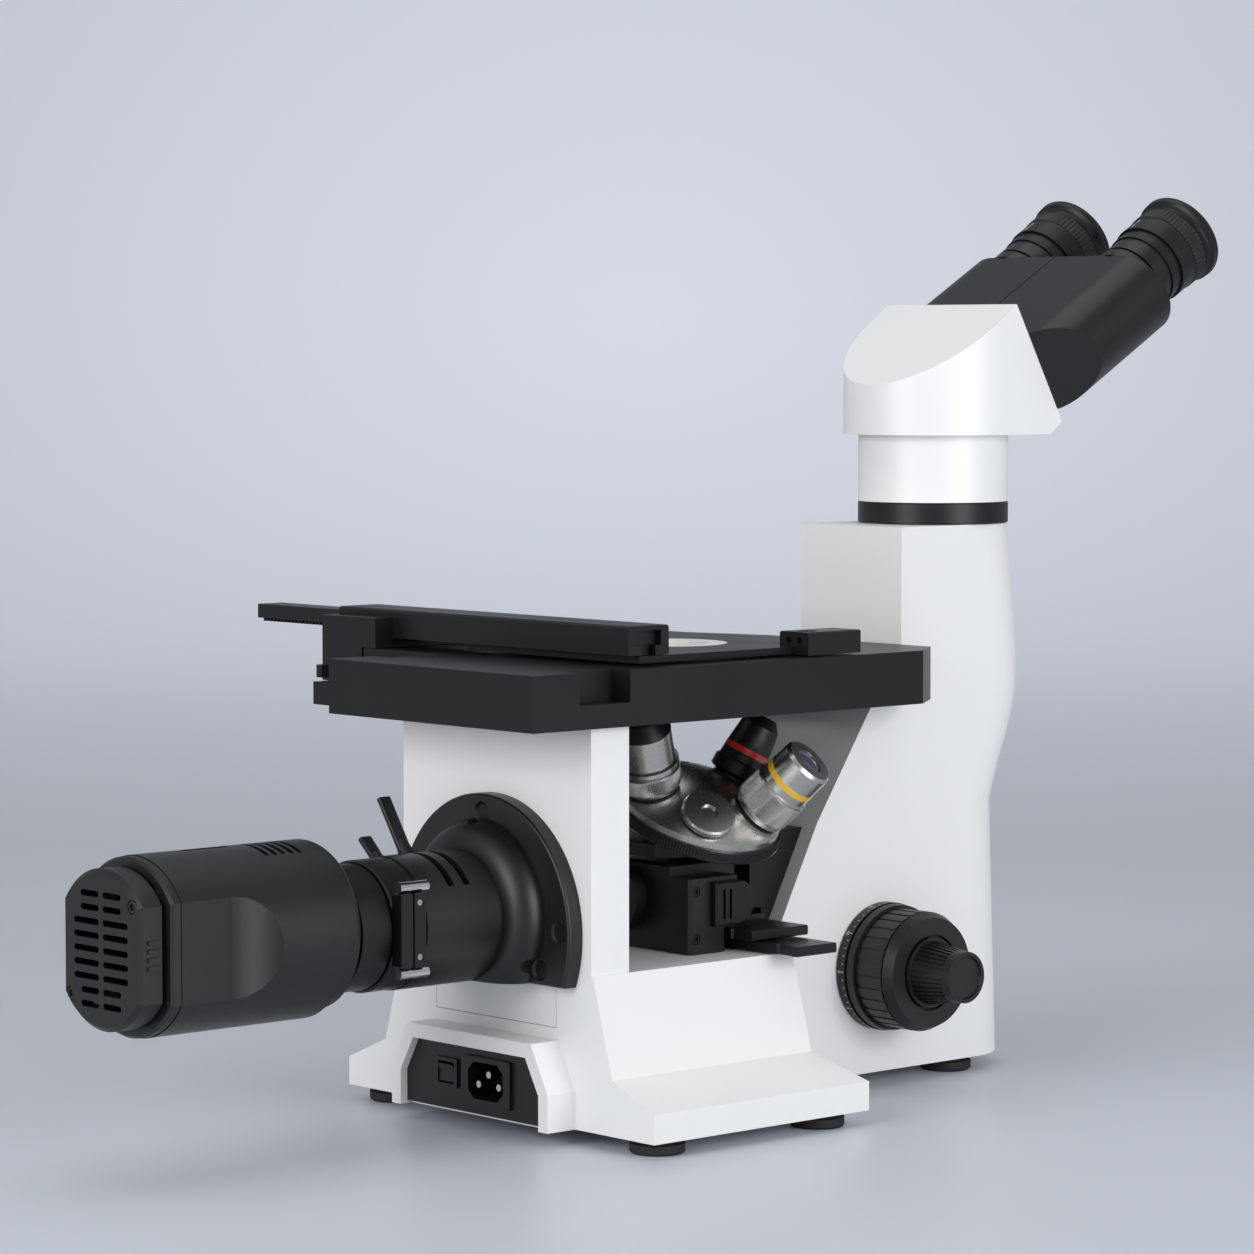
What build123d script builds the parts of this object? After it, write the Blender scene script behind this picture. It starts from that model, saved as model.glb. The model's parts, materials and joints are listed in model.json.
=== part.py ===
from build123d import *
import math
import os

# Inverted microscope with a reflected-light lamp housing behind and a binocular head in front.
# Millimetres. X = 0 is the plane of symmetry, the user sits at -Y, the lamp points to +Y,
# Z = 0 is the table and the objective that is in use stands on the line X = 0, Y = 0.

os.makedirs("parts", exist_ok=True)

# Fits
run_gap = 0.05        # radial gap of a piece that turns or slides in another
face_gap = 0.3        # gap between the faces of two pieces that move past each other
fit_gap = 0.02        # gap round a piece that is fixed in a hole

# Feet
foot_height = 7.0
foot_r = 12.5
foot_step_r = 9.5
foot_step_h = 2.5
foot_x = 92.0
foot_rear_y = 90.0
foot_mid_y = -9.0
foot_front_x = 20.0
foot_front_y = -168.0

# Base of the stand
rear_y = 106.0
skirt_half = 107.5
skirt_front_y = -27.0
skirt_top_z = 20.3
slope_half = 80.0
slope_z = 32.0
flank_front_y = -17.0
sill_half = 67.0
sill_z = 76.8
base_wall = 8.0
base_floor_z = 66.0
plate_thick = 2.0

# Rear column, window and front column
column_half = 66.0
column_thick = 22.5
seat_z = 187.5
arm_half = 34.7
arm_root_y = -150.0
arm_rear_y = -120.8
arm_top_z = 269.3
window_top_y = -102.9
window_mid_y = -64.5
window_mid_z = 130.5
window_low_y = -41.0
window_low_z = 85.3
window_foot_y = -36.5
arm_front = ((foot_height, -174.3), (133.0, -169.0), (152.0, -175.5), (163.0, -180.2),
             (174.0, -184.2), (187.0, -187.6), (205.0, -187.9), (237.6, -184.7), (269.3, -179.9))

# Power hood and panel at the back
hood_depth = 16.3
hood_low_half = 55.0
hood_low_z = 24.0
hood_top_half = 43.5
hood_top_z = 45.8
panel_low_half = 48.7
panel_low_z = 23.0
panel_top_half = 39.6
panel_top_z = 39.2
panel_recess = 4.0
panel_thick = 3.0
inlet_x = -9.2
inlet_z = 23.9
inlet_w = 33.9
inlet_h = 22.2
inlet_cavity_w = 24.6
inlet_cavity_h = 17.0
inlet_cavity_z = 24.15
inlet_depth = 18.0
inlet_pin_r = 1.6
inlet_pin_pitch = 14.0
switch_x = 19.0
switch_z = 25.2
switch_w = 15.7
switch_h = 13.5
rocker_w = 10.6
rocker_h = 9.4
rocker_tilt = 9.0

# Access cover on the rear face
cover_half = 42.0
cover_low_z = 51.5
cover_top_z = 74.0
cover_thick = 1.6

# Lamp flange and illuminator tube
lamp_z = 100.0
flange_z = 94.0
flange_r = 60.2
flange_thick = 8.0
flange_cut_z = 71.0
tube_r = 30.0
tube_bore_r = 27.0
tube_fillet_r = 13.0
tube_end_y = 170.0
spigot_r = 28.0
spigot_y = 84.0
screw_r = 2.6
screw_head_r = 5.0
screw_top_rise = 51.6
screw_side = (53.0, 96.0)
screw_low = (40.0, 78.0)
lens_bend = 60.0
lens_thick = 10.0
lens_y = 133.0
aperture_y = 143.0
field_y = 152.0
slot_w = 3.8
lever_thick = 3.0
ring_bore_r = 14.0

# Clamp collar, neck and lamp housing
collar_len = 18.0
collar_r = 29.5
neck_spigot_r = 25.0
neck_r = 28.3
neck_y = 188.3
neck_step_y = 205.0
house_z = 102.0
house_r = 39.1
house_front_y = 212.6
house_end_y = 305.0
house_wall = 2.6
house_flat = 32.5
flat_start_y = 281.0
flat_tip_y = 256.0
bezel_end_y = 310.0
cap_y = 312.0
cap_end_y = 323.5
cap_r = 34.7
cap_flat = 28.0
cap_wall = 2.4
vent_pitch = 5.9
vent_slot = 2.7
vent_rows = 9
top_vent_x = -4.0
top_vent_y = 229.6
top_vent_pitch = 4.4
top_vent_count = 5
recess_x = 3.0
recess_y = 269.0
recess_w = 9.0
recess_len = 25.0
socket_y = 262.0
socket_r = 12.0
bulb_neck_r = 4.5
bulb_r = 5.8
bulb_len = 20.0

# Illuminator block below the turret, its cover and its sliders
block_half = 31.0
block_rear_y = 27.0
block_front_y = -34.0
block_step_y = -14.0
block_step_z = 90.0
block_top_z = 118.0
boss_r = 15.5
boss_len = 7.0
light_r = 11.0
cover_block_x = -46.0
cover_block_front_y = -3.0
cover_block_top_z = 112.0
cover_screw_places = ((24.0, 106.0), (24.0, 84.0), (-1.0, 106.0), (-1.0, 97.0))
thumb_x = -50.0
thumb_rear_y = 15.0
thumb_nose_y = -9.5
thumb_low_z = 89.5
thumb_top_z = 110.0
upper_slider_x = -62.0
upper_slider_y = -14.0
upper_slider_w = 36.0
upper_slider_z = 85.2
lower_slider_x = -86.0
lower_slider_y = -14.5
lower_slider_w = 25.0
lower_slider_z = 79.8
slider_thick = 4.6
upper_slider_len = 76.0
lower_slider_len = 88.0

# Focusing slide and its guide
guide_half = 26.0
guide_y = -36.0
guide_top_z = 128.0
guide_back_y = -63.1
rail_depth = 6.0
rail_half = 8.0
rail_flare = 3.0
slide_half = 28.0
slide_thick = 9.0
slide_low_z = 92.5
arm_low_z = 120.8
arm_thick = 6.0
arm_left_x = -34.0
arm_right_x = 16.0
arm_end_y = 32.0

# Turret: its axis leans towards -X, so that the uphill port stands upright at X = 0, Y = 0
turret_tilt = 25.0
port_circle_r = 27.5
turret_z = 143.4
turret_r = 39.8
turret_thick = 9.0
turret_lip = 3.6
dome_bend = 65.0
grip_r = 41.2
grip_bore_r = 38.0
port_count = 5
port_r = 10.16
port_face_r = 13.4
shank_len = 6.0
mount_bed_r = 28.0
pivot_r = 6.0

# Focus knobs
knob_y = -108.0
knob_z = 58.5
shaft_r = 9.0
fine_shaft_r = 5.0
dial_r = 30.8
dial_x = 35.4
coarse_x = 68.5
coarse_r = 28.6
coarse_front_r = 26.3
coarse_ribs = 30
fine_x = 91.3
fine_r = 15.2
fine_end_r = 12.6
fine_flutes = 36

# Stage plate
stage_low_z = 187.8
stage_step_z = 198.5
stage_top_z = 213.0
stage_near_x = -72.0
stage_far_x = 118.5
stage_rear_y = 145.0
stage_notch_y = 88.0
stage_rib_y = 118.0
stage_front_y = -119.2
stage_chamfer_x = -56.0
stage_chamfer_y = -97.7
stage_hole_r = 49.0
stage_recess_r = 65.0
stage_rail_w = 4.0
stage_rail_low_z = 200.0
stage_rail_h = 6.0

# Mechanical stage
plate_half_x = 60.0
plate_front_y = -58.0
plate_rear_y = 72.0
plate_z = 214.3
plate_h = 3.2
opening_r = 25.0
insert_flange_r = 28.0
insert_r = 19.5
bar_y = 54.0
bar_w = 24.4
bar_z = 217.8
bar_h = 13.4
bar_near_x = -60.0
carriage_x = 108.3
carriage_end_x = 149.0
carriage_front_y = 18.0
carriage_rear_y = 88.7
carriage_low_z = 196.0
carriage_top_z = 227.5
stem_w = 8.0
tee_w = 15.0
tee_z = 222.2
tee_h = 6.8
rack_near_x = -56.0
rack_end_x = 220.0
tooth_pitch = 2.8
tooth_depth = 1.8
tooth_count = 50
guide_block_x = -70.0
guide_block_w = 19.0
guide_block_y = -58.0
guide_block_d = 34.0
guide_block_z = 213.9
guide_block_top_z = 224.5
drive_x = 128.0
drive_y = 36.0
drive_r = 14.0
drive_small_r = 10.5
drive_low_z = 112.0
drive_mid_z = 140.0
drive_top_z = 172.0
drive_shaft_r = 3.0
drive_tube_r = 5.5

# Head
head_y = -178.0
head_ring_r = 37.1
head_ring_h = 10.7
neck_tube_r = 37.0
head_low_z = 313.0
head_half = 44.4
ridge_y = -190.4
ridge_z = 376.7
head_nose_y = -223.5
head_nose_z = 319.1
head_chin_y = -215.2
head_back_z = 337.4
light_tube_r = 20.0

# Binocular: its hinge axis leans 30 degrees up from the horizontal
eye_tilt = 30.0
hinge_y = -207.0
hinge_z = 347.8
body_half = 66.0
body_round_r = 21.5
body_top = 17.0
body_len = 78.0
body_cut = 45.0
hinge_drop = -1.5
barrel_r = 9.0
hinge_pin_r = 5.0
hinge_cap_r = 7.5
hinge_len = 92.0
fold_angle = 41.0
eye_half = 36.5
tube_outer_r = 19.0
tube_inner_r = 15.2
eye_tube_end = 95.0
eye_flange_r = 19.8
eye_ring_t = 102.0
eye_ring_end = 122.0
eye_ring_r = 21.0
eye_core_r = 17.5
cup_t = 125.0
cup_end = 130.0
cup_r = 23.1
cup_bore_r = 14.5

# Stand: one casting of the wide base, the rear column, the front column and the power hood
with BuildPart() as stand:
    with BuildSketch(Plane.XY.offset(foot_height)):
        with Locations((0, (rear_y + skirt_front_y) / 2)):
            Rectangle(2 * skirt_half, rear_y - skirt_front_y)
    extrude(amount=skirt_top_z - foot_height)
    with BuildSketch(Plane.XY.offset(skirt_top_z)):
        with Locations((0, (rear_y + skirt_front_y) / 2)):
            Rectangle(2 * skirt_half, rear_y - skirt_front_y)
    with BuildSketch(Plane.XY.offset(slope_z)):
        with Locations((0, (rear_y + flank_front_y) / 2)):
            Rectangle(2 * slope_half, rear_y - flank_front_y)
    loft(ruled=True)
    with BuildSketch(Plane.XY.offset(slope_z)):
        with Locations((0, (rear_y + flank_front_y) / 2)):
            Rectangle(2 * slope_half, rear_y - flank_front_y)
    with BuildSketch(Plane.XY.offset(sill_z)):
        with Locations((0, (rear_y + flank_front_y) / 2)):
            Rectangle(2 * sill_half, rear_y - flank_front_y)
    loft(ruled=True)
    with BuildSketch(Plane.XY.offset(sill_z)):
        with Locations((0, rear_y - column_thick / 2)):
            Rectangle(2 * column_half, column_thick)
    extrude(amount=seat_z - sill_z)
    with BuildSketch(Plane.YZ):
        with BuildLine():
            Polyline((flank_front_y + 1, foot_height), (arm_root_y, foot_height), (arm_root_y, arm_top_z),
                     (arm_rear_y, arm_top_z), (arm_rear_y, seat_z), (window_top_y, seat_z),
                     (window_mid_y, window_mid_z), (window_low_y, window_low_z),
                     (window_foot_y, sill_z), (flank_front_y + 1, sill_z), close=True)
        make_face()
    extrude(amount=arm_half, both=True)
    for z, y in arm_front:
        with BuildSketch(Plane.XY.offset(z)):
            with BuildLine():
                Polyline((-arm_half, y), (-arm_half, arm_root_y), (arm_half, arm_root_y), (arm_half, y))
                ThreePointArc((arm_half, y), (0, y - arm_half), (-arm_half, y))
            make_face()
    loft(ruled=True)
    with BuildSketch(Plane.XZ.offset(-rear_y)):
        with BuildLine():
            Polyline((-hood_low_half, foot_height), (-hood_low_half, hood_low_z),
                     (-hood_top_half, hood_top_z), (hood_top_half, hood_top_z),
                     (hood_low_half, hood_low_z), (hood_low_half, foot_height),
                     close=True)
        make_face()
    extrude(amount=-hood_depth)
    # hollow of the base, open below
    with BuildSketch(Plane.XY.offset(foot_height)):
        with Locations((0, (rear_y + flank_front_y) / 2)):
            Rectangle(2 * (sill_half - base_wall), rear_y - flank_front_y - 2 * base_wall)
    extrude(amount=base_floor_z - foot_height, mode=Mode.SUBTRACT)
    with BuildSketch(Plane.XY.offset(foot_height)):
        with Locations((0, (rear_y + flank_front_y) / 2)):
            Rectangle(2 * sill_half, rear_y - flank_front_y - base_wall)
    extrude(amount=plate_thick, mode=Mode.SUBTRACT)
    # opening of the power hood
    with BuildSketch(Plane.XZ.offset(-rear_y - hood_depth)):
        with BuildLine():
            Polyline((-panel_low_half, foot_height), (-panel_low_half, panel_low_z),
                     (-panel_top_half, panel_top_z), (panel_top_half, panel_top_z),
                     (panel_low_half, panel_low_z), (panel_low_half, foot_height), close=True)
        make_face()
    extrude(amount=panel_recess + panel_thick, mode=Mode.SUBTRACT)
    with BuildSketch(Plane.XZ.offset(-rear_y - hood_depth)):
        with Locations((0, inlet_z)):
            Rectangle(2 * panel_top_half - 8, inlet_h + 4)
    extrude(amount=hood_depth + base_wall + 1, mode=Mode.SUBTRACT)
    # seat of the access cover
    with BuildSketch(Plane.XZ.offset(-rear_y)):
        with Locations((0, (cover_low_z + cover_top_z) / 2)):
            Rectangle(2 * cover_half + 0.6, cover_top_z - cover_low_z + 0.6)
    extrude(amount=cover_thick, mode=Mode.SUBTRACT)
    # bore for the illuminator tube, bore for the focus shaft, light shaft in the front column
    with BuildSketch(Plane.XZ.offset(-rear_y)):
        with Locations((0, lamp_z)):
            Circle(spigot_r + fit_gap)
    extrude(amount=column_thick, mode=Mode.SUBTRACT)
    with BuildSketch(Plane.YZ.offset(-arm_half)):
        with Locations((knob_y, knob_z)):
            Circle(shaft_r + run_gap)
    extrude(amount=2 * arm_half, mode=Mode.SUBTRACT)
    with BuildSketch(Plane.XY.offset(arm_top_z)):
        with Locations((0, head_y)):
            Circle(light_tube_r + fit_gap)
    extrude(amount=-60, mode=Mode.SUBTRACT)
stand.part.label = "stand"
export_step(stand.part, "parts/stand.step")

with BuildPart() as base_plate:
    with BuildSketch(Plane.XY.offset(foot_height)):
        with Locations((0, (rear_y + flank_front_y) / 2)):
            Rectangle(2 * (sill_half - face_gap), rear_y - flank_front_y - base_wall - 2 * face_gap)
    extrude(amount=plate_thick)
base_plate.part.label = "base_plate"
export_step(base_plate.part, "parts/base_plate.step")

foot_places = [(-foot_x, foot_rear_y), (foot_x, foot_rear_y), (-foot_x, foot_mid_y), (foot_x, foot_mid_y),
               (-foot_front_x, foot_front_y), (foot_front_x, foot_front_y)]
with BuildPart() as feet:
    with BuildSketch(Plane.XY):
        with Locations(foot_places):
            Circle(foot_r)
    extrude(amount=foot_height - foot_step_h)
    with BuildSketch(Plane.XY.offset(foot_height - foot_step_h)):
        with Locations(foot_places):
            Circle(foot_step_r)
    extrude(amount=foot_step_h)
    chamfer(feet.edges().group_by(Axis.Z)[0], 1.0)
feet.part.label = "feet"
export_step(feet.part, "parts/feet.step")

# Power panel with the mains inlet and the rocker switch
panel_y = rear_y + hood_depth - panel_recess
with BuildPart() as power_panel:
    with BuildSketch(Plane.XZ.offset(-panel_y)):
        with BuildLine():
            Polyline((-panel_low_half + fit_gap, foot_height + 1.5), (-panel_low_half + fit_gap, panel_low_z),
                     (-panel_top_half + fit_gap, panel_top_z - fit_gap),
                     (panel_top_half - fit_gap, panel_top_z - fit_gap),
                     (panel_low_half - fit_gap, panel_low_z), (panel_low_half - fit_gap, foot_height + 1.5),
                     close=True)
        make_face()
        with Locations((inlet_x, inlet_z)):
            Rectangle(inlet_w - 4, inlet_h - 3, mode=Mode.SUBTRACT)
        with Locations((switch_x, switch_z)):
            Rectangle(switch_w - 2, switch_h - 2, mode=Mode.SUBTRACT)
    extrude(amount=panel_thick)
power_panel.part.label = "power_panel"
export_step(power_panel.part, "parts/power_panel.step")

with BuildPart() as inlet_socket:
    with BuildSketch(Plane.XZ.offset(-panel_y)):
        with Locations((inlet_x, inlet_z)):
            RectangleRounded(inlet_w, inlet_h, 1.5)
    extrude(amount=-1.6)
    with BuildSketch(Plane.XZ.offset(-panel_y)):
        with Locations((inlet_x, inlet_z)):
            Rectangle(inlet_w - 4.2, inlet_h - 3.2)
    extrude(amount=inlet_depth + 2)
    with BuildSketch(Plane.XZ.offset(-panel_y - 1.6)):
        with Locations((inlet_x, inlet_cavity_z)):
            cavity = Rectangle(inlet_cavity_w, inlet_cavity_h)
        chamfer(cavity.vertices().group_by(Axis.Z)[-1], 4.0)
    extrude(amount=inlet_depth, mode=Mode.SUBTRACT)
inlet_socket.part.label = "inlet_socket"
export_step(inlet_socket.part, "parts/inlet_socket.step")

pin_root_y = panel_y + 1.6 - inlet_depth
with BuildPart() as inlet_pins:
    with BuildSketch(Plane.XZ.offset(-pin_root_y)):
        with Locations((inlet_x, inlet_cavity_z + 3.0), (inlet_x - inlet_pin_pitch / 2, inlet_cavity_z - 2.0),
                       (inlet_x + inlet_pin_pitch / 2, inlet_cavity_z - 2.0)):
            Circle(inlet_pin_r)
    extrude(amount=-(inlet_depth - 2.0))
inlet_pins.part.label = "inlet_pins"
export_step(inlet_pins.part, "parts/inlet_pins.step")

with BuildPart() as switch_frame:
    with BuildSketch(Plane.XZ.offset(-panel_y)):
        with Locations((switch_x, switch_z)):
            RectangleRounded(switch_w, switch_h, 1.0)
    extrude(amount=-1.4)
    with BuildSketch(Plane.XZ.offset(-panel_y)):
        with Locations((switch_x, switch_z)):
            Rectangle(switch_w - 2.2, switch_h - 2.2)
    extrude(amount=12)
    with BuildSketch(Plane.XZ.offset(-panel_y - 1.4)):
        with Locations((switch_x, switch_z)):
            Rectangle(rocker_w + 2 * face_gap, rocker_h + 2 * face_gap)
    extrude(amount=11, mode=Mode.SUBTRACT)
switch_frame.part.label = "switch_frame"
export_step(switch_frame.part, "parts/switch_frame.step")

# The rocker's face is two flats that meet over its pivot
rocker_y = panel_y - 1.0
rocker_rise = rocker_h / 2 * math.tan(math.radians(rocker_tilt))
with BuildPart() as power_rocker:
    with BuildSketch(Plane.YZ.offset(switch_x - rocker_w / 2)):
        with BuildLine():
            Polyline((rocker_y - 2.0, switch_z - rocker_h / 2 + 1.4),
                     (rocker_y + 1.2, switch_z - rocker_h / 2 + 0.5),
                     (rocker_y + 1.2 + rocker_rise, switch_z - rocker_h / 2 + 0.5),
                     (rocker_y + 1.6, switch_z),
                     (rocker_y + 1.6 + 2 * rocker_rise, switch_z + rocker_h / 2 - 0.7),
                     (rocker_y - 2.0, switch_z + rocker_h / 2 - 1.4), close=True)
        make_face()
    extrude(amount=rocker_w)
power_rocker.part.label = "power_rocker"
export_step(power_rocker.part, "parts/power_rocker.step")

with BuildPart() as access_cover:
    with BuildSketch(Plane.XZ.offset(-rear_y)):
        with Locations((0, (cover_low_z + cover_top_z) / 2)):
            Rectangle(2 * cover_half, cover_top_z - cover_low_z)
        with Locations((0, lamp_z)):
            Circle(spigot_r + 1, mode=Mode.SUBTRACT)
    extrude(amount=cover_thick)
access_cover.part.label = "access_cover"
export_step(access_cover.part, "parts/access_cover.step")

# Illuminator tube with its flange, spigot and the two slots of the diaphragm levers
flange_y = rear_y + flange_thick
flange_screw_places = [(0, flange_z + screw_top_rise), screw_side, (-screw_side[0], screw_side[1]),
                       screw_low, (-screw_low[0], screw_low[1])]
with BuildPart() as illuminator_tube:
    with BuildSketch(Plane.XZ.offset(-rear_y)):
        with Locations((0, flange_z)):
            Circle(flange_r)
        with Locations((0, flange_cut_z - flange_r)):
            Rectangle(4 * flange_r, 2 * flange_r, mode=Mode.SUBTRACT)
    extrude(amount=-flange_thick)
    fillet(illuminator_tube.edges().group_by(Axis.Y)[-1], 1.5)
    with BuildSketch(Plane.YZ):
        with BuildLine():
            Polyline((flange_y - 1, lamp_z), (flange_y - 1, lamp_z + tube_r + tube_fillet_r),
                     (flange_y, lamp_z + tube_r + tube_fillet_r))
            RadiusArc((flange_y, lamp_z + tube_r + tube_fillet_r),
                      (flange_y + tube_fillet_r, lamp_z + tube_r), tube_fillet_r)
            Polyline((flange_y + tube_fillet_r, lamp_z + tube_r), (tube_end_y, lamp_z + tube_r),
                     (tube_end_y, lamp_z), (flange_y - 1, lamp_z))
        make_face()
    revolve(axis=Axis((0, 0, lamp_z), (0, 1, 0)))
    with BuildSketch(Plane.XY.offset(flange_cut_z)):
        with Locations((0, flange_y + 20)):
            Rectangle(4 * flange_r, 60)
    extrude(amount=-60, mode=Mode.SUBTRACT)
    with BuildSketch(Plane.XZ.offset(-rear_y)):
        with Locations((0, lamp_z)):
            Circle(tube_r)
    extrude(amount=-(tube_end_y - rear_y))
    with BuildSketch(Plane.XZ.offset(-spigot_y)):
        with Locations((0, lamp_z)):
            Circle(spigot_r)
    extrude(amount=-(rear_y - spigot_y))
    with BuildSketch(Plane.XZ.offset(-spigot_y)):
        with Locations((0, lamp_z)):
            Circle(tube_bore_r)
    extrude(amount=-(tube_end_y - spigot_y), mode=Mode.SUBTRACT)
    for slot_y in (aperture_y, field_y):
        with BuildSketch(Plane.XZ.offset(-slot_y + slot_w / 2)):
            with BuildLine():
                Line((0, lamp_z), (-1.4 * tube_r, lamp_z + tube_r))
                Polyline((-1.4 * tube_r, lamp_z + tube_r), (-1.4 * tube_r, lamp_z + 1.5 * tube_r),
                         (1.4 * tube_r, lamp_z + 1.5 * tube_r), (1.4 * tube_r, lamp_z + tube_r), (0, lamp_z))
            make_face()
        extrude(amount=-slot_w, mode=Mode.SUBTRACT)
    with Locations(Plane(origin=(0, flange_y, 0), x_dir=(-1, 0, 0), z_dir=(0, 1, 0))):
        with Locations(flange_screw_places):
            CounterSinkHole(screw_r + fit_gap, screw_head_r, flange_thick)
illuminator_tube.part.label = "illuminator_tube"
export_step(illuminator_tube.part, "parts/illuminator_tube.step")

with BuildPart() as flange_screws:
    with Locations(Plane(origin=(0, flange_y - 1.0, 0), x_dir=(1, 0, 0), z_dir=(0, -1, 0))):
        with Locations(flange_screw_places):
            Cylinder(screw_r, flange_thick - 1.0, align=(Align.CENTER, Align.CENTER, Align.MIN))
            Cone(screw_head_r - 1.2, screw_r, screw_head_r - 1.2 - screw_r,
                 align=(Align.CENTER, Align.CENTER, Align.MIN))
flange_screws.part.label = "flange_screws"
export_step(flange_screws.part, "parts/flange_screws.step")

lens_half_angle = math.degrees(math.asin((tube_bore_r - fit_gap) / lens_bend))
with BuildPart() as collector_lens:
    with BuildSketch(Plane.YZ):
        with BuildLine():
            face = CenterArc((lens_y - lens_bend, lamp_z), lens_bend, 0, lens_half_angle)
            Polyline(face @ 1, (lens_y - lens_thick, (face @ 1).Y), (lens_y - lens_thick, lamp_z), face @ 0)
        make_face()
    revolve(axis=Axis((0, 0, lamp_z), (0, 1, 0)))
collector_lens.part.label = "collector_lens"
export_step(collector_lens.part, "parts/collector_lens.step")

# Two diaphragms with their levers: a ring that turns in the tube, a stem in the slot and a blade outside
lever_places = {"aperture_lever": (aperture_y, 34.0, 62.0), "field_lever": (field_y, 48.0, 50.0)}
for lever_name, (lever_y, lever_angle, lever_reach) in lever_places.items():
    stem_dir = (math.sin(math.radians(lever_angle)), 0, math.cos(math.radians(lever_angle)))
    stem_plane = Plane(origin=(0, lever_y, lamp_z), x_dir=(0, 1, 0), z_dir=stem_dir)
    with BuildPart() as lever:
        with BuildSketch(Plane.XZ.offset(-lever_y + lever_thick / 2)):
            with Locations((0, lamp_z)):
                Circle(tube_bore_r - run_gap)
                Circle(ring_bore_r, mode=Mode.SUBTRACT)
        extrude(amount=-lever_thick)
        with BuildSketch(stem_plane.offset(tube_bore_r - 3)):
            Circle(lever_thick / 2)
        extrude(amount=12)
        with BuildSketch(stem_plane.offset(tube_r + 1.0)):
            Circle(4.0)
        extrude(amount=9, taper=9)
        with BuildSketch(stem_plane.offset(tube_r + 4)):
            RectangleRounded(7.0, 2.8, 1.2)
        extrude(amount=lever_reach - tube_r - 4)
    lever.part.label = lever_name
    export_step(lever.part, f"parts/{lever_name}.step")

# Clamp collar with the two bars that draw it together
collar_y = tube_end_y + 0.2
bar_gap = 1.0
bar_deep = (collar_len - 4 - bar_gap) / 2
collar_flat = collar_r - 2.5
with BuildPart() as clamp_collar:
    with BuildSketch(Plane.XZ.offset(-collar_y)):
        with Locations((0, lamp_z)):
            Circle(collar_r)
            Circle(neck_spigot_r + fit_gap, mode=Mode.SUBTRACT)
        with Locations((-collar_flat - 10, lamp_z)):
            Rectangle(20, 44, mode=Mode.SUBTRACT)
    extrude(amount=-(collar_len - 0.4))
    chamfer(clamp_collar.edges().filter_by(GeomType.CIRCLE).group_by(Axis.Y)[-1], 0.8)
clamp_collar.part.label = "clamp_collar"
export_step(clamp_collar.part, "parts/clamp_collar.step")

with BuildPart() as clamp_bars:
    with BuildSketch(Plane.YZ.offset(-collar_flat)):
        with Locations((collar_y + 3.6 + bar_deep / 2, lamp_z + 1),
                       (collar_y + 3.6 + bar_deep * 1.5 + bar_gap, lamp_z + 1)):
            RectangleRounded(bar_deep, 33, 1.2)
    extrude(amount=-6.5)
    with BuildSketch(Plane.YZ.offset(-collar_flat - 6.5)):
        with Locations((collar_y + 3.6 + bar_deep / 2, lamp_z + 13),
                       (collar_y + 3.6 + bar_deep / 2, lamp_z - 11)):
            Circle(1.6)
    extrude(amount=3, mode=Mode.SUBTRACT)
clamp_bars.part.label = "clamp_bars"
export_step(clamp_bars.part, "parts/clamp_bars.step")

with BuildPart() as clamp_screws:
    with BuildSketch(Plane.XZ.offset(-collar_y - 1.2)):
        with Locations((-collar_flat - 3.6, lamp_z + 20.0), (-collar_flat - 3.6, lamp_z - 18.0)):
            Circle(2.4)
    extrude(amount=-(collar_len - 2))
clamp_screws.part.label = "clamp_screws"
export_step(clamp_screws.part, "parts/clamp_screws.step")

with BuildPart() as lamp_neck:
    with BuildSketch(Plane.YZ):
        with BuildLine():
            Polyline((tube_end_y - 12, lamp_z + 20), (tube_end_y - 12, lamp_z + neck_spigot_r),
                     (neck_y, lamp_z + neck_spigot_r), (neck_y, lamp_z + neck_r - 0.8),
                     (neck_y + 0.8, lamp_z + neck_r), (neck_step_y, lamp_z + neck_r),
                     (neck_step_y, lamp_z + neck_r - 1.6), (house_front_y, lamp_z + neck_r - 1.6),
                     (house_front_y, lamp_z + 20), close=True)
        make_face()
    revolve(axis=Axis((0, 0, lamp_z), (0, 1, 0)))
lamp_neck.part.label = "lamp_neck"
export_step(lamp_neck.part, "parts/lamp_neck.step")

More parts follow.
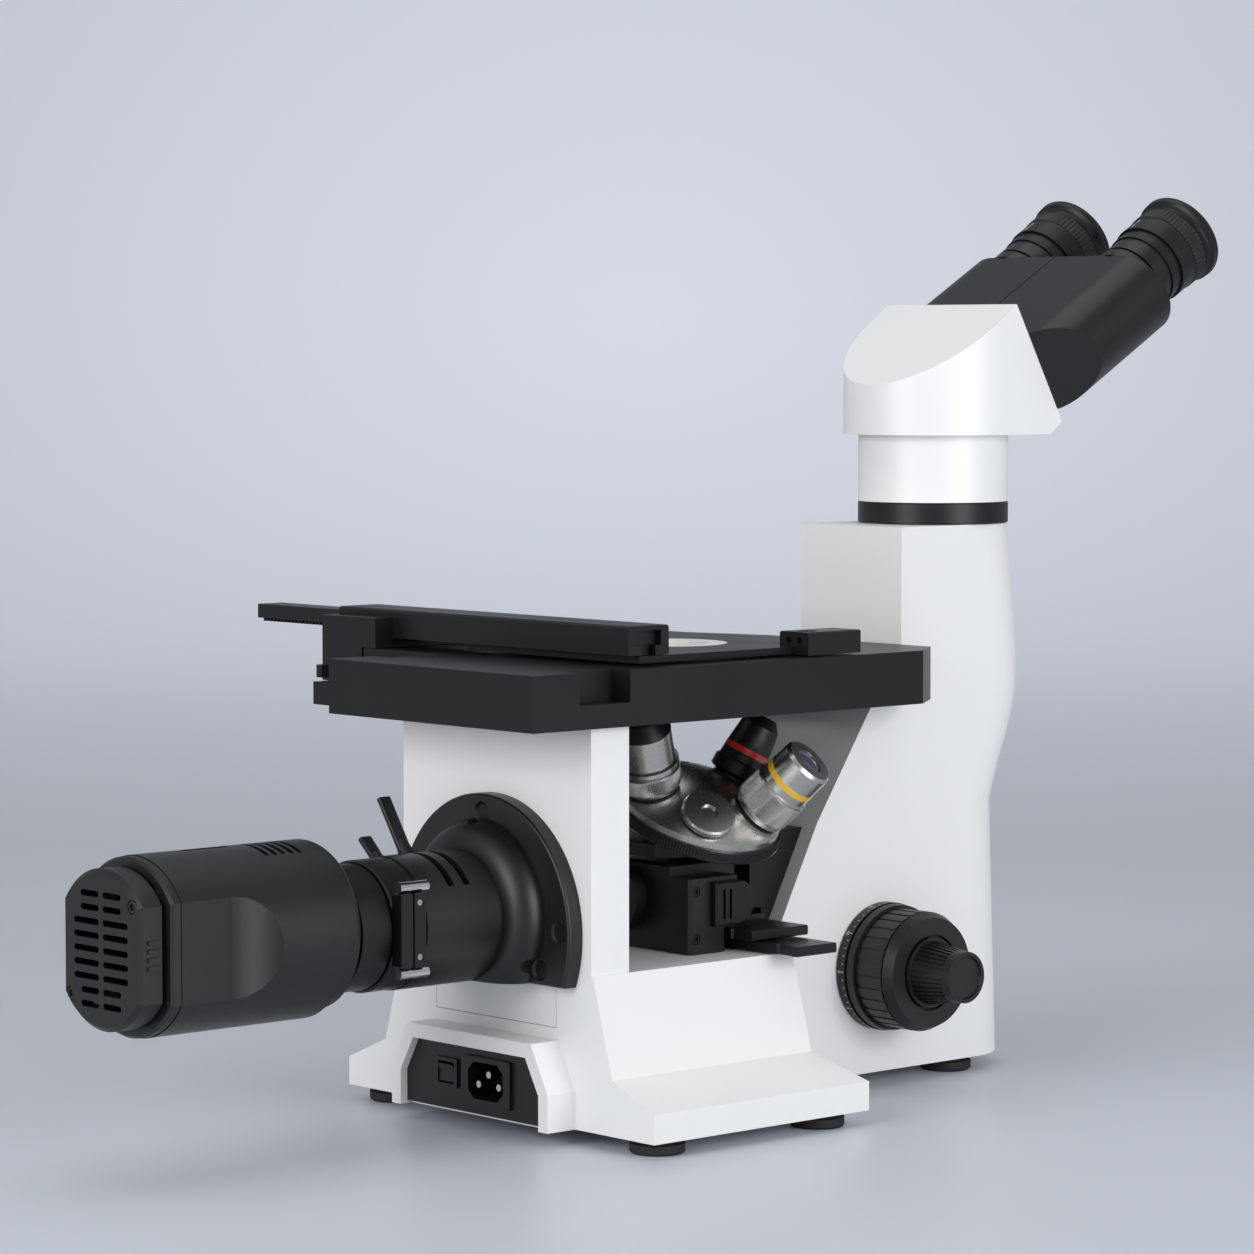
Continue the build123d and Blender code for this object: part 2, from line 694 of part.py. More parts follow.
# Lamp housing: a round shell with flat sides that run out forwards
with BuildPart() as lamp_housing:
    with BuildSketch(Plane.XZ.offset(-house_front_y)):
        with Locations((0, house_z)):
            Circle(house_r)
    extrude(amount=-(house_end_y - house_front_y))
    fillet(lamp_housing.edges().group_by(Axis.Y)[0], 4.0)
    for side in (-1, 1):
        with BuildSketch(Plane.XY.offset(house_z - house_r - 1)):
            with BuildLine():
                Polyline((side * (house_r + 1), flat_tip_y - 1), (side * (house_r + 1), house_end_y + 1),
                         (side * house_flat, house_end_y + 1), (side * house_flat, flat_start_y))
                ThreePointArc((side * house_flat, flat_start_y),
                              (side * (house_flat + 1.6), flat_start_y - 14),
                              (side * (house_r + 1), flat_tip_y - 1))
            make_face()
        extrude(amount=2 * house_r + 2, mode=Mode.SUBTRACT)
    with BuildSketch(Plane.XZ.offset(-house_front_y - 2)):
        with Locations((0, house_z)):
            Circle(house_flat - house_wall)
    extrude(amount=-(house_end_y - house_front_y), mode=Mode.SUBTRACT)
    with BuildSketch(Plane.XZ.offset(-house_front_y)):
        with Locations((0, lamp_z)):
            Circle(20.0)
    extrude(amount=-4, mode=Mode.SUBTRACT)
    # lower half of the front ring is stepped in
    with BuildSketch(Plane.XZ.offset(-house_front_y)):
        with Locations((0, house_z)):
            Circle(house_r + 1)
            Circle(house_r - 3.2, mode=Mode.SUBTRACT)
        with Locations((0, house_z + house_r)):
            Rectangle(4 * house_r, 2 * house_r, mode=Mode.SUBTRACT)
    extrude(amount=-9, mode=Mode.SUBTRACT)
    # vents on top and the recess behind them
    for vent in range(top_vent_count):
        with BuildSketch(Plane.XY.offset(house_z + house_r + 1)):
            with Locations((top_vent_x, top_vent_y + top_vent_pitch * vent)):
                SlotOverall(24, 2.2)
        extrude(amount=-14, mode=Mode.SUBTRACT)
    with BuildSketch(Plane.XY.offset(house_z + house_r + 1)):
        with Locations((recess_x, recess_y)):
            RectangleRounded(recess_w, recess_len, 1.5)
    extrude(amount=-2.6, mode=Mode.SUBTRACT)
lamp_housing.part.label = "lamp_housing"
export_step(lamp_housing.part, "parts/lamp_housing.step")

with BuildPart() as lamp_bezel:
    with BuildSketch(Plane.XZ.offset(-house_end_y)):
        with Locations((0, house_z)):
            Circle(house_r - 0.4)
            Rectangle(2 * house_flat - 0.8, 3 * house_r, mode=Mode.INTERSECT)
    extrude(amount=-(bezel_end_y - house_end_y))
    chamfer(lamp_bezel.edges().group_by(Axis.Y)[-1], 1.2)
    with BuildSketch(Plane.XZ.offset(-house_end_y)):
        with Locations((0, house_z)):
            Circle(cap_flat - 6)
    extrude(amount=-(bezel_end_y - house_end_y), mode=Mode.SUBTRACT)
lamp_bezel.part.label = "lamp_bezel"
export_step(lamp_bezel.part, "parts/lamp_bezel.step")

with BuildPart() as lamp_cap:
    with BuildSketch(Plane.XZ.offset(-bezel_end_y)):
        with Locations((0, house_z)):
            Circle(cap_r - 3)
            Rectangle(2 * cap_flat - 5, 3 * cap_r, mode=Mode.INTERSECT)
    extrude(amount=-(cap_y - bezel_end_y))
    with BuildSketch(Plane.XZ.offset(-cap_y)):
        with Locations((0, house_z)):
            Circle(cap_r)
            Rectangle(2 * cap_flat, 3 * cap_r, mode=Mode.INTERSECT)
    extrude(amount=-(cap_end_y - cap_y))
    chamfer(lamp_cap.edges().group_by(Axis.Y)[-1], 2.0)
    with BuildSketch(Plane.XZ.offset(-bezel_end_y)):
        with Locations((0, house_z)):
            Rectangle(2 * cap_flat - 12, 1.5 * cap_r)
    extrude(amount=-(cap_end_y - bezel_end_y - cap_wall), mode=Mode.SUBTRACT)
    for row in range(vent_rows):
        row_z = house_z + (row - (vent_rows - 1) / 2) * vent_pitch
        edge_row = row in (0, 1, vent_rows - 2, vent_rows - 1)
        vent_len = 13.0 if edge_row else 18.0
        with BuildSketch(Plane.XZ.offset(-cap_end_y)):
            with Locations((-1.5 - vent_len / 2, row_z), (1.5 + vent_len / 2, row_z)):
                SlotOverall(vent_len, vent_slot)
        extrude(amount=cap_wall + 1, mode=Mode.SUBTRACT)
    for side in (-1, 1):
        with BuildSketch(Plane.YZ.offset(side * cap_flat)):
            with Locations(((cap_y + cap_end_y) / 2 - 1.5, house_z)):
                with GridLocations(0, 3.6, 1, 4):
                    SlotOverall(7.0, 1.8)
        extrude(amount=side * 0.9)
    with Locations(Plane(origin=(0, cap_end_y, 0), x_dir=(-1, 0, 0), z_dir=(0, 1, 0))):
        with Locations((-22.5, house_z - 20.5), (22.5, house_z + 20.5)):
            CounterBoreHole(1.5, 3.0, 1.6, 6)
lamp_cap.part.label = "lamp_cap"
export_step(lamp_cap.part, "parts/lamp_cap.step")

with BuildPart() as lamp_socket:
    with BuildSketch(Plane.XZ.offset(-socket_y)):
        with Locations((0, lamp_z)):
            Circle(house_flat - house_wall - 2.5)
            Circle(socket_r, mode=Mode.SUBTRACT)
    extrude(amount=-3)
    with BuildSketch(Plane.XZ.offset(-socket_y)):
        with Locations((0, lamp_z)):
            Circle(socket_r)
    extrude(amount=-16)
lamp_socket.part.label = "lamp_socket"
export_step(lamp_socket.part, "parts/lamp_socket.step")

with BuildPart() as lamp_bulb:
    with BuildSketch(Plane.YZ):
        with BuildLine():
            Polyline((socket_y, lamp_z), (socket_y, lamp_z + bulb_neck_r),
                     (socket_y - 8, lamp_z + bulb_neck_r),
                     (socket_y - 9, lamp_z + bulb_r), (socket_y - bulb_len, lamp_z + bulb_r))
            CenterArc((socket_y - bulb_len, lamp_z), bulb_r, 90, 90)
            Line((socket_y - bulb_len - bulb_r, lamp_z), (socket_y, lamp_z))
        make_face()
    revolve(axis=Axis((0, 0, lamp_z), (0, 1, 0)))
lamp_bulb.part.label = "lamp_bulb"
export_step(lamp_bulb.part, "parts/lamp_bulb.step")

slider_places = {
    "upper_slider": (upper_slider_y, upper_slider_z, upper_slider_w, upper_slider_x, upper_slider_len),
    "lower_slider": (lower_slider_y, lower_slider_z, lower_slider_w, lower_slider_x, lower_slider_len),
}

# Illuminator block on the sill, with slots for the two sliders and crossing light bores
with BuildPart() as illuminator_block:
    with BuildSketch(Plane.YZ.offset(-block_half)):
        with BuildLine():
            Polyline((block_rear_y, sill_z), (block_rear_y, block_top_z), (block_step_y, block_top_z),
                     (block_step_y, block_step_z), (block_front_y, block_step_z),
                     (block_front_y, sill_z), close=True)
        make_face()
    extrude(amount=2 * block_half)
    chamfer(illuminator_block.edges().group_by(Axis.Z)[-1], 1.5)
    with BuildSketch(Plane.XZ.offset(-block_rear_y)):
        with Locations((0, lamp_z)):
            Circle(boss_r)
    extrude(amount=-boss_len)
    with BuildSketch(Plane.XZ.offset(-block_rear_y - boss_len)):
        with Locations((0, lamp_z)):
            Circle(light_r)
    extrude(amount=boss_len + block_rear_y, mode=Mode.SUBTRACT)
    with BuildSketch(Plane.XY.offset(block_top_z)):
        Circle(light_r)
    extrude(amount=-(block_top_z - lamp_z), mode=Mode.SUBTRACT)
    with BuildSketch(Plane.YZ.offset(-block_half)):
        with Locations((upper_slider_y, upper_slider_z)):
            Rectangle(upper_slider_w + 2 * run_gap, slider_thick + 2 * run_gap)
        with Locations((lower_slider_y, lower_slider_z)):
            Rectangle(lower_slider_w + 2 * run_gap, slider_thick + 2 * run_gap)
    extrude(amount=2 * block_half, mode=Mode.SUBTRACT)
illuminator_block.part.label = "illuminator_block"
export_step(illuminator_block.part, "parts/illuminator_block.step")

for slider_name, (y, z, w, x, reach) in slider_places.items():
    with BuildPart() as slider:
        with BuildSketch(Plane.YZ.offset(x)):
            with Locations((y, z)):
                Rectangle(w, slider_thick)
        extrude(amount=reach)
        chamfer(slider.edges().filter_by(Axis.Y).group_by(Axis.X)[0], 0.6)
        with BuildSketch(Plane.XY.offset(z + slider_thick / 2)):
            with Locations((x + reach - 18, y)):
                Circle(w / 2 - 4)
        extrude(amount=-slider_thick, mode=Mode.SUBTRACT)
        with BuildSketch(Plane.XY.offset(z + slider_thick / 2)):
            with Locations((x + 9, y + w / 2)):
                SlotOverall(10, 2.4)
        extrude(amount=-slider_thick, mode=Mode.SUBTRACT)
    slider.part.label = slider_name
    export_step(slider.part, f"parts/{slider_name}.step")

with BuildPart() as illuminator_cover:
    with BuildSketch(Plane.XY.offset(sill_z)):
        with Locations(((cover_block_x - block_half) / 2, (cover_block_front_y + block_rear_y + 1) / 2)):
            Rectangle(-block_half - cover_block_x, block_rear_y + 1 - cover_block_front_y)
    extrude(amount=cover_block_top_z - sill_z)
    with BuildSketch(Plane.YZ.offset(cover_block_x)):
        with Locations((cover_block_front_y, sill_z)):
            Rectangle(2 * (upper_slider_y + upper_slider_w / 2 - cover_block_front_y + 1.0),
                      2 * (upper_slider_z + slider_thick / 2 + 1.0 - sill_z))
    extrude(amount=-cover_block_x, mode=Mode.SUBTRACT)
    chamfer(illuminator_cover.edges().filter_by(Axis.Z).group_by(Axis.X)[0], 1.5)
    with Locations(Plane(origin=(cover_block_x, 0, 0), x_dir=(0, -1, 0), z_dir=(-1, 0, 0))):
        with Locations([(-y, z) for y, z in cover_screw_places]):
            CounterBoreHole(1.3, 2.6, 1.8, 8)
illuminator_cover.part.label = "illuminator_cover"
export_step(illuminator_cover.part, "parts/illuminator_cover.step")

with BuildPart() as thumb_plate:
    with BuildSketch(Plane.YZ.offset(cover_block_x)):
        with BuildLine():
            Polyline((thumb_rear_y, thumb_low_z), (thumb_rear_y, thumb_top_z), (0, thumb_top_z))
            ThreePointArc((0, thumb_top_z), (thumb_nose_y, 99), (0, thumb_low_z))
            Line((0, thumb_low_z), (thumb_rear_y, thumb_low_z))
        make_face()
    extrude(amount=-(cover_block_x - thumb_x))
    chamfer(thumb_plate.edges().group_by(Axis.X)[0], 0.8)
    with BuildSketch(Plane.YZ.offset(thumb_x)):
        with Locations((10, 99.5), (6, 99.5)):
            SlotOverall(14, 1.6, rotation=90)
    extrude(amount=1.6, mode=Mode.SUBTRACT)
thumb_plate.part.label = "thumb_plate"
export_step(thumb_plate.part, "parts/thumb_plate.step")

# Focusing: a dovetail rail on the front column and the slide that carries the nosepiece
with BuildPart() as focus_guide:
    with BuildSketch(Plane.YZ.offset(-guide_half)):
        with BuildLine():
            Polyline((guide_y, sill_z), (window_foot_y, sill_z), (window_low_y, window_low_z),
                     (guide_back_y, guide_top_z), (guide_y, guide_top_z), close=True)
        make_face()
    extrude(amount=2 * guide_half)
    with BuildSketch(Plane.XY.offset(slide_low_z - 1)):
        with BuildLine():
            Polyline((-rail_half, guide_y), (-rail_half - rail_flare, guide_y + rail_depth),
                     (rail_half + rail_flare, guide_y + rail_depth), (rail_half, guide_y), close=True)
        make_face()
    extrude(amount=guide_top_z - slide_low_z + 1)
focus_guide.part.label = "focus_guide"
export_step(focus_guide.part, "parts/focus_guide.step")

slide_y = guide_y + face_gap
with BuildPart() as focus_slide:
    with BuildSketch(Plane.XY.offset(slide_low_z)):
        with Locations((0, slide_y + slide_thick / 2)):
            Rectangle(2 * slide_half, slide_thick)
    extrude(amount=arm_low_z + arm_thick - slide_low_z)
    with BuildSketch(Plane.XY.offset(slide_low_z)):
        with BuildLine():
            Polyline((-rail_half - run_gap, guide_y),
                     (-rail_half - rail_flare - run_gap, guide_y + rail_depth + run_gap),
                     (rail_half + rail_flare + run_gap, guide_y + rail_depth + run_gap),
                     (rail_half + run_gap, guide_y), close=True)
        make_face()
    extrude(amount=arm_low_z + arm_thick - slide_low_z, mode=Mode.SUBTRACT)
    with BuildSketch(Plane.XY.offset(arm_low_z)):
        with BuildLine():
            Polyline((-slide_half, slide_y + slide_thick - 1), (slide_half, slide_y + slide_thick - 1),
                     (arm_right_x, block_step_y), (arm_right_x, arm_end_y - 8), (arm_right_x - 8, arm_end_y),
                     (arm_left_x + 8, arm_end_y), (arm_left_x, arm_end_y - 8),
                     (arm_left_x, block_step_y), close=True)
        make_face()
        Circle(light_r, mode=Mode.SUBTRACT)
    extrude(amount=arm_thick)
focus_slide.part.label = "focus_slide"
export_step(focus_slide.part, "parts/focus_slide.step")

# Turret and what carries it, drawn in the plane of its leaning axis
lean = math.radians(turret_tilt)
port_rise = dome_bend * math.cos(lean) - math.sqrt(dome_bend ** 2 - turret_r ** 2)
axis_x = port_rise * math.sin(lean) - port_circle_r * math.cos(lean)
axis_up = (-math.sin(lean), 0, math.cos(lean))
uphill = (math.cos(lean), 0, math.sin(lean))
turret_plane = Plane(origin=(axis_x, 0, turret_z), x_dir=uphill, z_dir=axis_up)
bed_drop = turret_thick + face_gap
with BuildPart() as nosepiece_mount:
    with BuildSketch(turret_plane.offset(-bed_drop)):
        Circle(mount_bed_r)
    extrude(amount=-40)
    with BuildSketch(Plane.XY.offset(arm_low_z + arm_thick)):
        Rectangle(400, 400)
    extrude(amount=-80, mode=Mode.SUBTRACT)
    with BuildSketch(Plane.XY.offset(arm_low_z + arm_thick)):
        Circle(light_r)
    extrude(amount=60, mode=Mode.SUBTRACT)
    with BuildSketch(turret_plane.offset(-bed_drop)):
        Circle(pivot_r)
    extrude(amount=turret_thick - 1.5)
nosepiece_mount.part.label = "nosepiece_mount"
export_step(nosepiece_mount.part, "parts/nosepiece_mount.step")

port_angles = [360 / port_count * k for k in range(port_count)]


def port_plane(angle):
    """Plane of a port's face: it lies on the port circle and faces out along the objective."""
    turn = math.radians(angle)
    out = (math.cos(turn) * uphill[0], math.sin(turn), math.cos(turn) * uphill[2])
    face = [math.cos(lean) * a + math.sin(lean) * o for a, o in zip(axis_up, out)]
    place = [c + port_circle_r * o + port_rise * a for c, o, a in zip((axis_x, 0, turret_z), out, axis_up)]
    side = (-math.sin(turn) * uphill[0], math.cos(turn), -math.sin(turn) * uphill[2])
    return Plane(origin=tuple(place), x_dir=side, z_dir=tuple(face))


dome_centre = -math.sqrt(dome_bend ** 2 - turret_r ** 2)
dome_angle = math.degrees(math.acos(turret_r / dome_bend))
turret_side = Plane(origin=turret_plane.origin, x_dir=uphill, z_dir=(0, -1, 0))
with BuildPart() as turret_disc:
    with BuildSketch(turret_side):
        with BuildLine():
            CenterArc((0, dome_centre), dome_bend, dome_angle, 90 - dome_angle)
            Polyline((turret_r, 0), (turret_r, -turret_lip), (grip_bore_r - fit_gap, -turret_lip),
                     (grip_bore_r - fit_gap, -turret_thick), (0, -turret_thick), (0, dome_centre + dome_bend))
        make_face()
    revolve(axis=Axis(turret_plane.origin, turret_plane.z_dir))
    for angle in port_angles:
        with BuildSketch(port_plane(angle)):
            Circle(port_face_r)
        extrude(amount=9, mode=Mode.SUBTRACT)
        with BuildSketch(port_plane(angle)):
            Circle(port_r)
        extrude(amount=-30, mode=Mode.SUBTRACT)
    with BuildSketch(turret_plane.offset(-turret_thick)):
        Circle(pivot_r + run_gap)
    extrude(amount=turret_thick - 1.2, mode=Mode.SUBTRACT)
turret_disc.part.label = "turret_disc"
export_step(turret_disc.part, "parts/turret_disc.step")

with BuildPart() as turret_grip:
    with BuildSketch(turret_plane.offset(-turret_thick)):
        Circle(grip_r)
        Circle(grip_bore_r, mode=Mode.SUBTRACT)
    extrude(amount=turret_thick - turret_lip)
turret_grip.part.label = "turret_grip"
export_step(turret_grip.part, "parts/turret_grip.step")

# Objectives: each is a revolved stack of collars on a threaded shank, and one port has a blank plug
objective_forms = {
    "objective_black_end": (72.0, ((0, 13.4), (2.0, 14.6), (10.5, 14.6), (11.2, 13.4), (12.0, 14.7),
                                   (14.0, 14.7), (14.6, 13.2), (30.5, 12.9), (36.5, 8.6), (36.5, 6.7))),
    "objective_yellow": (216.0, ((0, 13.0), (2.5, 14.0), (17.5, 14.0), (18.2, 13.0), (34.5, 12.7),
                                 (36.0, 11.4), (36.0, 6.7))),
    "objective_red": (288.0, ((0, 9.0), (1.5, 12.6), (7.0, 12.6), (8.0, 11.4), (17.0, 10.6), (27.0, 9.4),
                              (32.0, 6.0), (32.0, 4.0))),
    "port_plug": (144.0, ((0, 12.8), (2.2, 12.8), (3.0, 12.0), (3.0, 4.0))),
}
for form_name, (angle, outline) in objective_forms.items():
    place = port_plane(angle)
    side_plane = Plane(origin=place.origin, x_dir=place.x_dir, z_dir=-place.y_dir)
    with BuildPart() as objective:
        with BuildSketch(side_plane):
            with BuildLine():
                Polyline((0, -shank_len), (port_r - fit_gap, -shank_len), (port_r - fit_gap, 0),
                         *[(r, h) for h, r in outline], (outline[-1][1], outline[-1][0] - 1.2),
                         (0, outline[-1][0] - 1.2), close=True)
            make_face()
        revolve(axis=Axis(place.origin, place.z_dir))
    objective.part.label = form_name
    export_step(objective.part, f"parts/{form_name}.step")

# Focus knobs: the coarse pair on a hollow shaft, the fine pair on a rod inside it
with BuildPart() as coarse_knobs:
    with BuildSketch(Plane.YZ.offset(-dial_x)):
        with Locations((knob_y, knob_z)):
            Circle(shaft_r)
    extrude(amount=2 * dial_x)
    for side in (-1, 1):
        with BuildSketch(Plane.YZ.offset(side * dial_x)):
            with Locations((knob_y, knob_z)):
                Circle(dial_r)
        extrude(amount=side * 5.0)
        with BuildSketch(Plane.YZ.offset(side * (dial_x + 5.0))):
            with Locations((knob_y, knob_z)):
                Circle(dial_r - 3.0)
        extrude(amount=side * 1.2)
        with BuildSketch(Plane.YZ.offset(side * (dial_x + 6.2))):
            with Locations((knob_y, knob_z)):
                Circle(dial_r - 0.4)
        extrude(amount=side * 4.0, taper=4)
        with BuildSketch(Plane.YZ.offset(side * (dial_x + 10.2))):
            with Locations((knob_y, knob_z)):
                Circle(coarse_r)
                with PolarLocations(coarse_r + 0.4, coarse_ribs):
                    Rectangle(1.6, 1.6, mode=Mode.SUBTRACT)
        extrude(amount=side * (coarse_x - dial_x - 16.2))
        with BuildSketch(Plane.YZ.offset(side * (coarse_x - 6.0))):
            with Locations((knob_y, knob_z)):
                Circle(coarse_r - 1.4)
        extrude(amount=side * 1.0)
        with BuildSketch(Plane.YZ.offset(side * (coarse_x - 5.0))):
            with Locations((knob_y, knob_z)):
                Circle(coarse_r)
        extrude(amount=side * 5.0, taper=(coarse_r - coarse_front_r) * 11)
        with BuildSketch(Plane.YZ.offset(side * coarse_x)):
            with Locations((knob_y, knob_z)):
                Circle(fine_r + 3.0)
        extrude(amount=-side * 2.5, mode=Mode.SUBTRACT)
    with BuildSketch(Plane.YZ.offset(-coarse_x - 1)):
        with Locations((knob_y, knob_z)):
            Circle(fine_shaft_r + run_gap)
    extrude(amount=2 * coarse_x + 2, mode=Mode.SUBTRACT)
coarse_knobs.part.label = "coarse_knobs"
export_step(coarse_knobs.part, "parts/coarse_knobs.step")

fine_root_x = coarse_x - 2.5 + face_gap
flute_lean = math.degrees(math.atan((fine_r - fine_end_r) / (fine_x - 4.0 - fine_root_x - 2.6)))
with BuildPart() as fine_knobs:
    for side in (-1, 1):
        with BuildSketch(Plane.XY.offset(knob_z)):
            with BuildLine():
                Polyline((0, knob_y), (0, knob_y + fine_shaft_r), (side * fine_root_x, knob_y + fine_shaft_r),
                         (side * fine_root_x, knob_y + fine_r + 1.6),
                         (side * (fine_root_x + 2.6), knob_y + fine_r + 1.6),
                         (side * (fine_root_x + 2.6), knob_y + fine_r),
                         (side * (fine_x - 4.0), knob_y + fine_end_r),
                         (side * fine_x, knob_y + fine_end_r - 0.4),
                         (side * fine_x, knob_y + fine_end_r - 2.2),
                         (side * (fine_x - 1.2), knob_y + fine_end_r - 2.6), (side * (fine_x - 1.2), knob_y),
                         close=True)
            make_face()
        revolve(axis=Axis((0, knob_y, knob_z), (1, 0, 0)))
        for flute in range(fine_flutes):
            turn = 360 / fine_flutes * flute
            spin = Location((0, knob_y, knob_z), (turn, 0, 0))
            mid_x = side * (fine_root_x + fine_x - 1.4) / 2
            with Locations(spin * Location((mid_x, 0, (fine_r + fine_end_r) / 2), (0, side * flute_lean, 0))):
                Box(fine_x - fine_root_x - 8.0, 1.1, 1.3, mode=Mode.SUBTRACT)
fine_knobs.part.label = "fine_knobs"
export_step(fine_knobs.part, "parts/fine_knobs.step")

# Stage plate: a lower layer, a smaller upper layer and a deep block at the back
with BuildPart() as stage:
    with BuildSketch(Plane.XY.offset(stage_low_z)):
        with BuildLine():
            Polyline((stage_near_x, stage_rib_y), (stage_near_x, stage_chamfer_y),
                     (stage_chamfer_x, stage_front_y), (-stage_chamfer_x, stage_front_y),
                     (stage_far_x, stage_chamfer_y), (stage_far_x, stage_rib_y), close=True)
        make_face()
    extrude(amount=stage_step_z - stage_low_z)
    with BuildSketch(Plane.XY.offset(stage_step_z)):
        with BuildLine():
            Polyline((stage_near_x, stage_notch_y), (stage_near_x, stage_chamfer_y),
                     (stage_chamfer_x, stage_front_y), (-stage_chamfer_x, stage_front_y),
                     (stage_far_x, stage_chamfer_y), (stage_far_x, stage_notch_y), close=True)
        make_face()
    extrude(amount=stage_top_z - stage_step_z)
    with BuildSketch(Plane.XY.offset(stage_low_z)):
        with Locations((0, (stage_rear_y + stage_rib_y) / 2)):
            Rectangle(-2 * stage_near_x, stage_rear_y - stage_rib_y)
    extrude(amount=stage_top_z - stage_low_z)
    with BuildSketch(Plane.XY.offset(stage_low_z)):
        with Locations((0, (stage_notch_y + stage_rib_y) / 2)):
            Rectangle(-2 * stage_near_x - 24, stage_rib_y - stage_notch_y + 2)
    extrude(amount=stage_top_z - stage_low_z)
    with BuildSketch(Plane.XY.offset(stage_low_z)):
        Circle(stage_hole_r)
    extrude(amount=stage_top_z - stage_low_z, mode=Mode.SUBTRACT)
    # recess below, in which the objectives swing round as the turret turns
    with BuildSketch(Plane.XY.offset(stage_low_z)):
        Circle(stage_recess_r)
    extrude(amount=stage_step_z - stage_low_z, mode=Mode.SUBTRACT)
    with BuildSketch(Plane.YZ.offset(stage_far_x)):
        with BuildLine():
            Polyline((stage_chamfer_y, stage_rail_low_z), (stage_notch_y + 25, stage_rail_low_z),
                     (stage_notch_y + 25, stage_rail_low_z + stage_rail_h),
                     (stage_chamfer_y, stage_rail_low_z + stage_rail_h), close=True)
        make_face()
    extrude(amount=stage_rail_w)
stage.part.label = "stage"
export_step(stage.part, "parts/stage.step")

# Cross travel: the carriage slides along Y on the rail at the far edge and carries the bar
with BuildPart() as stage_carriage:
    with BuildSketch(Plane.XZ.offset(-carriage_rear_y)):
        with BuildLine():
            Polyline((carriage_x, stage_top_z + face_gap), (stage_far_x + face_gap, stage_top_z + face_gap),
                     (stage_far_x + face_gap, carriage_low_z), (carriage_end_x, carriage_low_z),
                     (carriage_end_x, carriage_top_z), (carriage_x, carriage_top_z), close=True)
        make_face()
    extrude(amount=carriage_rear_y - carriage_front_y)
    with BuildSketch(Plane.XZ.offset(-carriage_rear_y)):
        with Locations((stage_far_x + stage_rail_w / 2, stage_rail_low_z + stage_rail_h / 2)):
            Rectangle(stage_rail_w + 2 * run_gap, stage_rail_h + 2 * run_gap)
    extrude(amount=carriage_rear_y - carriage_front_y, mode=Mode.SUBTRACT)
    with BuildSketch(Plane.YZ.offset(carriage_x)):
        with Locations((bar_y + bar_w / 2, bar_z + bar_h / 2)):
            Rectangle(bar_w + 2 * fit_gap, bar_h)
    extrude(amount=carriage_end_x - carriage_x, mode=Mode.SUBTRACT)
    with BuildSketch(Plane.YZ.offset(carriage_x)):
        with Locations((bar_y + bar_w / 2, bar_z - 1)):
            Rectangle(stem_w + 2, 2)
    extrude(amount=carriage_end_x - carriage_x, mode=Mode.SUBTRACT)
    with BuildSketch(Plane.XY.offset(carriage_low_z)):
        with Locations((drive_x, drive_y)):
            Circle(drive_tube_r + run_gap)
    extrude(amount=12, mode=Mode.SUBTRACT)
stage_carriage.part.label = "stage_carriage"
export_step(stage_carriage.part, "parts/stage_carriage.step")

with BuildPart() as x_bar:
    with BuildSketch(Plane.YZ.offset(bar_near_x)):
        with Locations((bar_y + bar_w / 2, bar_z + bar_h / 2)):
            Rectangle(bar_w, bar_h)
    extrude(amount=carriage_end_x - bar_near_x)
    chamfer(x_bar.edges().filter_by(Axis.X).group_by(Axis.Z)[-1], 1.0)
    with BuildSketch(Plane.YZ.offset(bar_near_x)):
        with Locations((bar_y + bar_w / 2, tee_z + tee_h / 2)):
            Rectangle(tee_w + 2 * run_gap, tee_h + 2 * run_gap)
        with Locations((bar_y + bar_w / 2, (bar_z + tee_z) / 2)):
            Rectangle(stem_w + 2 * run_gap, tee_z - bar_z)
    extrude(amount=carriage_end_x - bar_near_x, mode=Mode.SUBTRACT)
x_bar.part.label = "x_bar"
export_step(x_bar.part, "parts/x_bar.step")

# Longitudinal travel: the rack slides along X in the bar and carries the specimen plate
with BuildPart() as x_rack:
    with BuildSketch(Plane.YZ.offset(rack_near_x)):
        with Locations((bar_y + bar_w / 2, tee_z + tee_h / 2)):
            Rectangle(tee_w, tee_h)
    extrude(amount=rack_end_x - rack_near_x)
    with BuildSketch(Plane.YZ.offset(rack_near_x)):
        with Locations((bar_y + bar_w / 2, (tee_z + plate_z + plate_h) / 2)):
            Rectangle(stem_w, tee_z - plate_z - plate_h)
    extrude(amount=plate_half_x - 8 - rack_near_x)
    with BuildSketch(Plane.YZ.offset(plate_half_x + 16)):
        with Locations((bar_y + bar_w / 2, tee_z - tooth_depth / 2)):
            Rectangle(stem_w, tooth_depth)
    extrude(amount=rack_end_x - plate_half_x - 16)
    with BuildSketch(Plane.XZ.offset(-bar_y - bar_w / 2 + stem_w / 2 + 1)):
        for tooth in range(tooth_count):
            with Locations((rack_end_x - 1.4 - tooth_pitch * tooth, tee_z - tooth_depth)):
                Rectangle(tooth_pitch / 2, 2 * tooth_depth)
    extrude(amount=-stem_w - 2, mode=Mode.SUBTRACT)
x_rack.part.label = "x_rack"
export_step(x_rack.part, "parts/x_rack.step")

with BuildPart() as specimen_plate:
    with BuildSketch(Plane.XY.offset(plate_z)):
        with Locations((0, (plate_front_y + plate_rear_y) / 2)):
            Rectangle(2 * plate_half_x, plate_rear_y - plate_front_y)
        Circle(opening_r + fit_gap, mode=Mode.SUBTRACT)
    extrude(amount=plate_h)
    with BuildSketch(Plane.XY.offset(plate_z + plate_h)):
        Circle(insert_flange_r + fit_gap)
    extrude(amount=-1.4, mode=Mode.SUBTRACT)
    chamfer(specimen_plate.edges().filter_by(Axis.X).group_by(Axis.Z)[-1], 0.6)
specimen_plate.part.label = "specimen_plate"
export_step(specimen_plate.part, "parts/specimen_plate.step")

